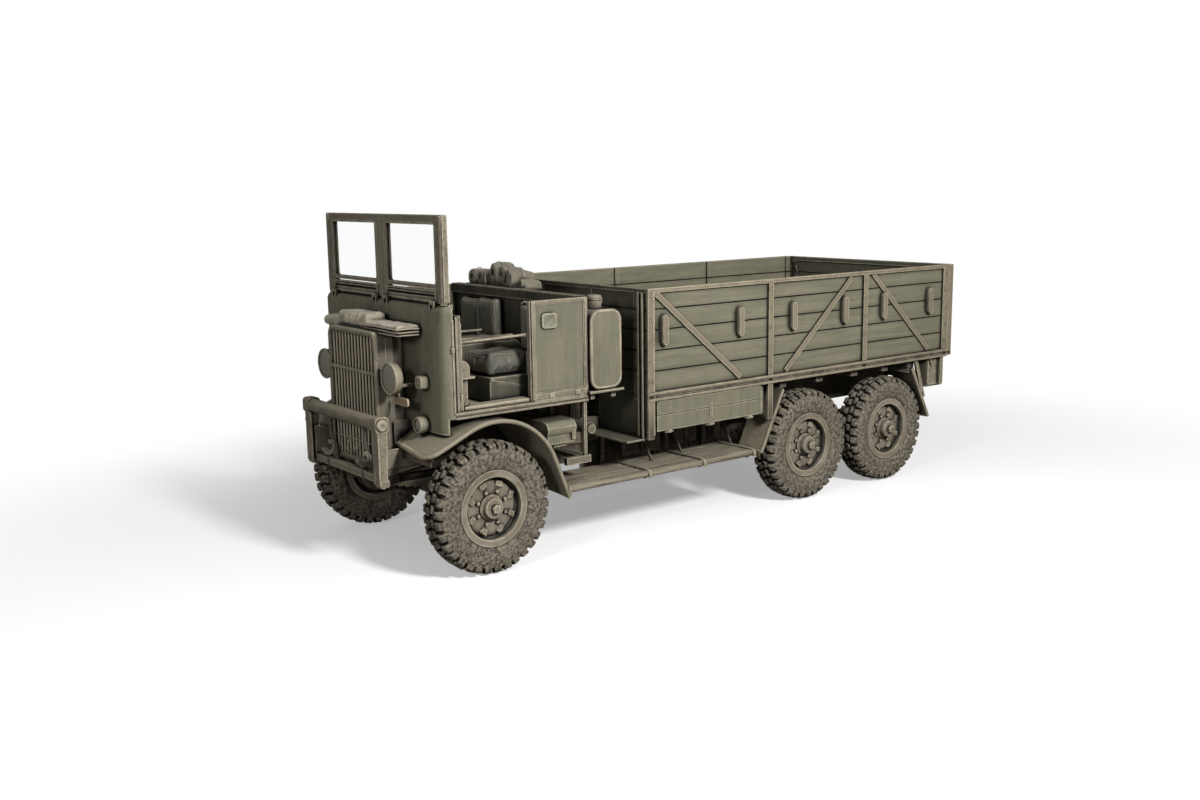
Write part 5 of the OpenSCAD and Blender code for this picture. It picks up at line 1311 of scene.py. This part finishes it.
def add_wings():
    """Sheet wings with a rounded front corner, a rolled edge, a stay and bolts."""
    line, inner = wing_line(WING_R), 0.45
    edge = wing_edge(line)
    lip, inside = [], []
    for part in (0.0, 0.2, 0.4, 0.6, 0.8):
        back, rise = swept(line, 0, part)
        lip.append((line[0][0] - back, inner + (edge[0][1] - inner) * part, line[0][1] + rise - 0.01))
    for row, (x, _, z) in enumerate(edge):
        back, rise = swept(line, row, 0.0)
        inside.append((x - back, inner + 0.006, z + rise - 0.004))
    parts = [wing_sheet(line, edge, inner),
             pipe(lip + [(x, y, z - 0.014) for x, y, z in edge], 0.018, sides=3),
             pipe(inside, 0.007),
             strut((FRONT_X - 0.09, 0.44, 0.93), (FRONT_X - 0.09, 0.62, 1.215), 0.04, 0.012, FRONT),
             plate((FRONT_X - 0.09, 0.452, 1.06), LEFT, 0.11, 0.28, 0.016, 0.012, 0.01, 0.003),
             bolts([(x, 0.5, z + 0.001) for x, _, z in edge[9:27:3]], UP, 0.009, 0.007)]
    wings = fit(parts, "wing_sheets", "wing", 50.0, mirror=True)
    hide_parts("front_wings")


# ---------------------------------------------------------------- padded pieces

def stuff(piece, cap, voxel=0.007, pressure=4.0):
    """Swells a closed shape as a stuffed pad, no point further than the cap, and rounds it."""
    apply_modifier(piece, "REMESH", mode="VOXEL", voxel_size=voxel)
    start = [vertex.co.copy() for vertex in piece.data.vertices]
    cloth = piece.modifiers.new("cloth", "CLOTH")
    cloth.settings.use_pressure = True
    cloth.settings.uniform_pressure_force = pressure
    cloth.settings.effector_weights.gravity = 0.0
    cloth.point_cache.frame_start = 1
    cloth.point_cache.frame_end = 20
    for step in range(1, 21):
        bpy.context.scene.frame_set(step)
    pick(piece)
    bpy.ops.object.modifier_apply(modifier="cloth")
    bpy.context.scene.frame_set(1)
    for vertex, place in zip(piece.data.vertices, start):
        move = vertex.co - place
        if move.length > cap:
            vertex.co = place + move.normalized() * cap
    return piece


def rounded(piece):
    apply_modifier(piece, "SUBSURF", levels=1, render_levels=1)
    return piece


def dent(piece, spot, reach, depth, direction):
    """Presses a soft hollow into a pad."""
    spot, direction = Vector(spot), Vector(direction)
    for vertex in piece.data.vertices:
        far = (vertex.co - spot).length / reach
        if far < 1.0:
            vertex.co += direction * depth * (1.0 - far * far) ** 2


def keep_inside(piece, low, high):
    """Rests a pad flat against the planes of its space."""
    for vertex in piece.data.vertices:
        vertex.co = [min(max(value, lowest), highest) for value, lowest, highest in zip(vertex.co, low, high)]


def seam(piece, points):
    """A welt that lies on the pad's skin."""
    spots = [piece.closest_point_on_mesh(Vector(point))[1] for point in points]
    return pipe(spots, 0.004, True)


def round_points(centre, normal, width, height, corner=0.05, between=4):
    """Points of a rounded frame, with more along its sides."""
    place, made = facing(centre, normal), []
    spots = corner_points(width, height, corner)
    for spot, after in zip(spots, spots[1:] + spots[:1]):
        cuts = between if (after - spot).length > corner else 1
        made += [place @ spot.lerp(after, cut / cuts) for cut in range(cuts)]
    return made


def add_seat_boxes():
    """Closed boxes under both cushions, the far one panelled, the near one with a diagonal rib."""
    near = [block((1.9, 0.43, 1.31), (2.304, 0.836, 1.518), 0.012),
            strut((1.905, 0.838, 1.505), (2.302, 0.838, 1.505), 0.024, 0.014),
            strut((2.29, 0.838, 1.492), (1.93, 0.838, 1.4), 0.022, 0.012),
            strut((1.905, 0.838, 1.322), (2.302, 0.838, 1.322), 0.022, 0.014)]
    far = [block((1.585, -0.818, 1.31), (2.046, -0.304, 1.488), 0.012),
           strut((2.048, -0.81, 1.33), (2.048, -0.312, 1.33), 0.02, 0.012, FRONT),
           strut((2.048, -0.81, 1.47), (2.048, -0.312, 1.47), 0.02, 0.012, FRONT)]
    stay = [block((1.87, 0.735, 1.6), (1.884, 0.842, 2.04)), block((1.866, 0.838, 1.5), (1.96, 0.85, 1.7))]
    boxes = fit(near + far + stay, "seat_boxes", "inner")
    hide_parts("seat_frames")


def add_seats():
    """Leather cushions and backs with welts: a box cushion, an upright bolster and a two-lobed pad."""
    near = stuff(block((1.905, 0.43, 1.52), (2.302, 0.83, 1.694), 0.036, 4), 0.016)
    dent(near, (2.16, 0.6, 1.7), 0.26, 0.014, DOWN)
    keep_inside(near, (1.89, 0.416, 1.52), (2.318, 0.845, 1.716))
    far = stuff(block((1.618, -0.802, 1.498), (2.04, -0.318, 1.624), 0.03, 3), 0.014, 0.008)
    dent(far, (1.84, -0.56, 1.64), 0.24, 0.012, DOWN)
    keep_inside(far, (1.6, -0.82, 1.49), (2.055, -0.3, 1.65))
    seams = [seam(near, round_points((2.104, 0.63, 1.73), UP, 0.385, 0.395)),
             seam(far, round_points((1.829, -0.56, 1.66), UP, 0.43, 0.49))]
    cushions = rounded(join([near, far]))
    fit([cushions], "leather_cushions", "hide", 180.0)
    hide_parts("seat_cushions")
    back = stuff(block((1.893, 0.745, 1.704), (1.948, 0.832, 2.062), 0.024, 3), 0.01)
    keep_inside(back, (1.884, 0.73, 1.69), (1.964, 0.845, 2.08))
    lobes = [block((1.508, -0.77, 1.655), (1.578, -0.455, 2.016), 0.034, 4),
             block((1.508, -0.475, 1.655), (1.582, -0.15, 2.03), 0.034, 4),
             block((1.508, -0.6, 1.665), (1.568, -0.34, 2.004), 0.016, 2)]
    pad = stuff(join(lobes), 0.013, 0.008)
    dent(pad, (1.59, -0.3, 2.03), 0.1, 0.018, DOWN)
    dent(pad, (1.59, -0.64, 2.03), 0.09, 0.012, DOWN)
    keep_inside(pad, (1.49, -0.8, 1.645), (1.6, -0.12, 2.048))
    seams += [seam(pad, round_points((1.62, -0.632, 1.84), FRONT, 0.28, 0.34)),
              seam(pad, round_points((1.62, -0.294, 1.845), FRONT, 0.29, 0.345))]
    backs = rounded(join([back, pad]))
    fit([backs], "leather_backs", "hide", 180.0)
    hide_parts("seat_backs")
    caps = [pipe([(1.918, 0.742, 2.06), (1.918, 0.76, 2.08), (1.918, 0.79, 2.084), (1.918, 0.82, 2.08),
                  (1.918, 0.844, 2.06), (1.918, 0.85, 1.95), (1.918, 0.85, 1.72)], 0.01)]
    fit(seams, "seat_welts", "hide", 60.0)
    fit(caps, "bolster_cap", "frame", 60.0)


def add_muff():
    """Radiator muff: a layered quilt folded over the shell with a thick roll on it."""
    slab = [block((2.818, -0.3, 1.914), (3.02, 0.684, 1.962), 0.016, 3),
            block((2.82, -0.32, 1.888), (3.01, 0.672, 1.918), 0.008, 2),
            block((2.822, -0.665, 1.876), (2.985, -0.3, 1.958), 0.034, 4)]
    roll = [block((2.83, -0.34, 1.916), (3.016, 0.19, 2.026), 0.046, 4)]
    quilt = stuff(join(slab + roll), 0.006, 0.007, 3.0)
    dent(quilt, (2.9, -0.32, 2.02), 0.12, 0.012, DOWN)
    dent(quilt, (2.96, 0.1, 2.04), 0.1, 0.008, DOWN)
    quilt = roughen(quilt, 0.1, 0.014)
    keep_inside(quilt, (2.8068, -0.76, 1.872), (3.0318, 0.7, 2.044))
    quilt = rounded(quilt)
    fit([quilt], "radiator_quilt", "muff", 180.0)
    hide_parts("radiator_muff")
    edges, draw = [], random.Random(17)
    for z in (1.893, 1.917, 1.941):
        run = [(2.84, 0.694), (2.92, 0.698), (2.99, 0.694), (3.018, 0.68), (3.024, 0.6), (3.022, 0.48),
               (3.024, 0.36), (3.022, 0.24), (3.02, 0.16)]
        edges.append(pipe([(x, y, z + draw.uniform(-0.004, 0.004)) for x, y in run], 0.006))
    fit(edges, "muff_binding", "strap", 60.0)


def canvas_roll(start, end, radius, hollow=0.016, rings=1):
    """A rolled bundle whose front end shows its layers."""
    start, end = Vector(start), Vector(end)
    long = (end - start).length
    outline = [(0.0, -hollow), (radius * 0.34, -hollow), (radius * 0.4, 0.0)]
    for step in range(rings):
        at = radius * (0.66 + 0.24 * step)
        outline += [(at - 0.006, 0.004), (at, -0.01), (at + 0.008, 0.004)]
    outline += [(radius * 0.97, -0.004), (radius, -0.022), (radius * 1.02, -long * 0.5),
                (radius * 0.92, -long + 0.02), (radius * 0.7, -long), (0.0, -long)]
    return lathe(start, start - end, outline, 36)


def add_folded_hood():
    """The canvas hood folded and tied behind the cab: lobed rolls of different sizes."""
    rolls = [canvas_roll((1.44, -0.765, 2.182), (1.235, -0.755, 2.175), 0.072),
             canvas_roll((1.43, -0.65, 2.176), (1.235, -0.64, 2.17), 0.064),
             canvas_roll((1.44, -0.545, 2.168), (1.235, -0.54, 2.165), 0.056),
             canvas_roll((1.425, -0.43, 2.235), (1.23, -0.395, 2.23), 0.086, 0.024, 2),
             canvas_roll((1.435, -0.375, 2.16), (1.235, -0.36, 2.16), 0.054),
             canvas_roll((1.42, -0.3, 2.222), (1.23, -0.26, 2.205), 0.072),
             canvas_roll((1.45, -0.17, 2.186), (1.24, -0.05, 2.16), 0.094, 0.06),
             canvas_roll((1.425, 0.0, 2.146), (1.235, 0.045, 2.14), 0.046),
             block((1.235, -0.8, 2.108), (1.42, 0.08, 2.16), 0.018, 2)]
    bundle = stuff(join(rolls), 0.006, 0.0066, 2.5)
    bundle = roughen(bundle, 0.09, 0.022)
    keep_inside(bundle, (1.205, -0.86, 2.104), (1.462, 0.11, 2.33))
    bundle = rounded(bundle)
    fit([bundle], "hood_bundle", "canvas", 180.0)
    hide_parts("folded_hood")
    loops = (((1.35, -0.762, 2.18), 0.08), ((1.36, -0.42, 2.234), 0.094), ((1.36, -0.116, 2.175), 0.1))
    ties = [ring(centre, (1, 0.05, 0), radius, 0.005, 36, 6) for centre, radius in loops]
    ties.append(pipe([(1.446, -0.515, 2.225), (1.452, -0.515, 2.18), (1.455, -0.516, 2.12)], 0.006))
    fit(ties, "hood_ties", "strap", 60.0)
    sticks = [rod((1.24, y, 2.112), (1.452, y, 2.112), 0.012, 10) for y in (-0.845, -0.42, 0.06)]
    fit(sticks, "hood_sticks", "black", 40.0)


# ---------------------------------------------------------------- camera, light and floor

def place_camera():
    """Three-quarter view from the front left, a little above the cab floor."""
    eye = Vector((7.4475, 8.838, 3.005))
    heading, pitch, roll = math.radians(37.93), math.radians(10.03), math.radians(-0.8)
    level = math.cos(pitch)
    forward = -Vector((math.sin(heading) * level, math.cos(heading) * level, math.sin(pitch)))
    right = forward.cross(Vector(UP)).normalized()
    above = right.cross(forward)
    right = right * math.cos(roll) + above * math.sin(roll)
    above = right.cross(forward)
    data = bpy.data.cameras.new("camera")
    data.lens = 36.65
    data.sensor_width = 36.0
    data.clip_end = 200.0
    camera = put_in_scene("camera", data)
    turn = Matrix((right, above, -forward)).transposed().to_4x4()
    camera.matrix_world = Matrix.Translation(eye) @ turn
    bpy.context.scene.camera = camera


def area_light(name, place, target, size, power):
    data = bpy.data.lights.new(name, "AREA")
    data.shape = "DISK"
    data.size = size
    data.energy = power
    lamp = put_in_scene(name, data)
    lamp.location = place
    lamp.rotation_euler = (Vector(target) - Vector(place)).to_track_quat("-Z", "Y").to_euler()


def place_lights():
    area_light("key", (1.5, 11.0, 7.5), (0.0, 0.0, 1.2), 2.2, 1480.0)
    area_light("front fill", (11.0, 5.0, 5.0), (2.5, 0.0, 1.2), 1.8, 235.0)
    world = bpy.data.worlds.new("studio")
    bpy.context.scene.world = world
    world.use_nodes = True
    tree = world.node_tree
    path = add(tree, "LightPath").outputs
    seen = calc(tree, "MAXIMUM", path["Is Camera Ray"], path["Is Transmission Ray"], clamp=True)
    background = tree.nodes["Background"]
    background.inputs["Color"].default_value = (1.0, 1.0, 1.0, 1.0)
    tree.links.new(ramp(tree, seen, 0.0, 1.0, 0.16, 1.0), background.inputs["Strength"])


def place_floor():
    """A pale floor that turns white away from the truck and keeps its shadow."""
    bpy.ops.object.select_all(action="DESELECT")
    bpy.ops.mesh.primitive_circle_add(vertices=96, radius=60.0, fill_type="NGON", location=(0, 0, 0))
    floor = bpy.context.object
    floor.name = "floor"
    made, tree, shader = new_material("floor")
    shader.inputs["Roughness"].default_value = 0.9
    shader.inputs["Specular IOR Level"].default_value = 0.1
    path = add(tree, "LightPath").outputs
    seen = calc(tree, "MAXIMUM", path["Is Camera Ray"], path["Is Transmission Ray"], clamp=True)
    tree.links.new(blend(tree, seen, FLOOR_BOUNCE, FLOOR_SEEN), shader.inputs["Base Color"])
    shader.inputs["Emission Color"].default_value = (1.0, 1.0, 1.0, 1.0)
    tree.links.new(times(tree, seen, FLOOR_GLOW), shader.inputs["Emission Strength"])
    place = here(tree)
    flat = add(tree, "VectorMath", {"operation": "MULTIPLY"})
    tree.links.new(place, flat.inputs[0])
    flat.inputs[1].default_value = (0.75, 1.0, 0.0)
    reach = add(tree, "VectorMath", {"operation": "LENGTH"})
    tree.links.new(flat.outputs[0], reach.inputs[0])
    away = ramp(tree, reach.outputs["Value"], 2.5, 6.5)
    glow = add(tree, "Emission", None, Color=(1.0, 1.0, 1.0, 1.0), Strength=1.0)
    mixed = add(tree, "MixShader")
    tree.links.new(times(tree, away, seen), mixed.inputs[0])
    tree.links.new(shader.outputs[0], mixed.inputs[1])
    tree.links.new(glow.outputs[0], mixed.inputs[2])
    tree.links.new(mixed.outputs[0], tree.nodes["Material Output"].inputs["Surface"])
    floor.data.materials.append(made)


place_camera()
place_lights()
place_floor()
bpy.context.scene.view_settings.view_transform = "Standard"
finish_cad_nodes()
add_wheels()
add_body_fittings()
add_running_boards()
add_underside()
add_flap_edges()
add_wings()
add_cab_sides()
add_tanks()
add_cab_inside()
add_lamps()
add_radiator_trim()
add_bumper_details()
add_screen_fittings()
add_gear_details()
add_tail_fittings()
add_seat_boxes()
add_seats()
add_muff()
add_folded_hood()
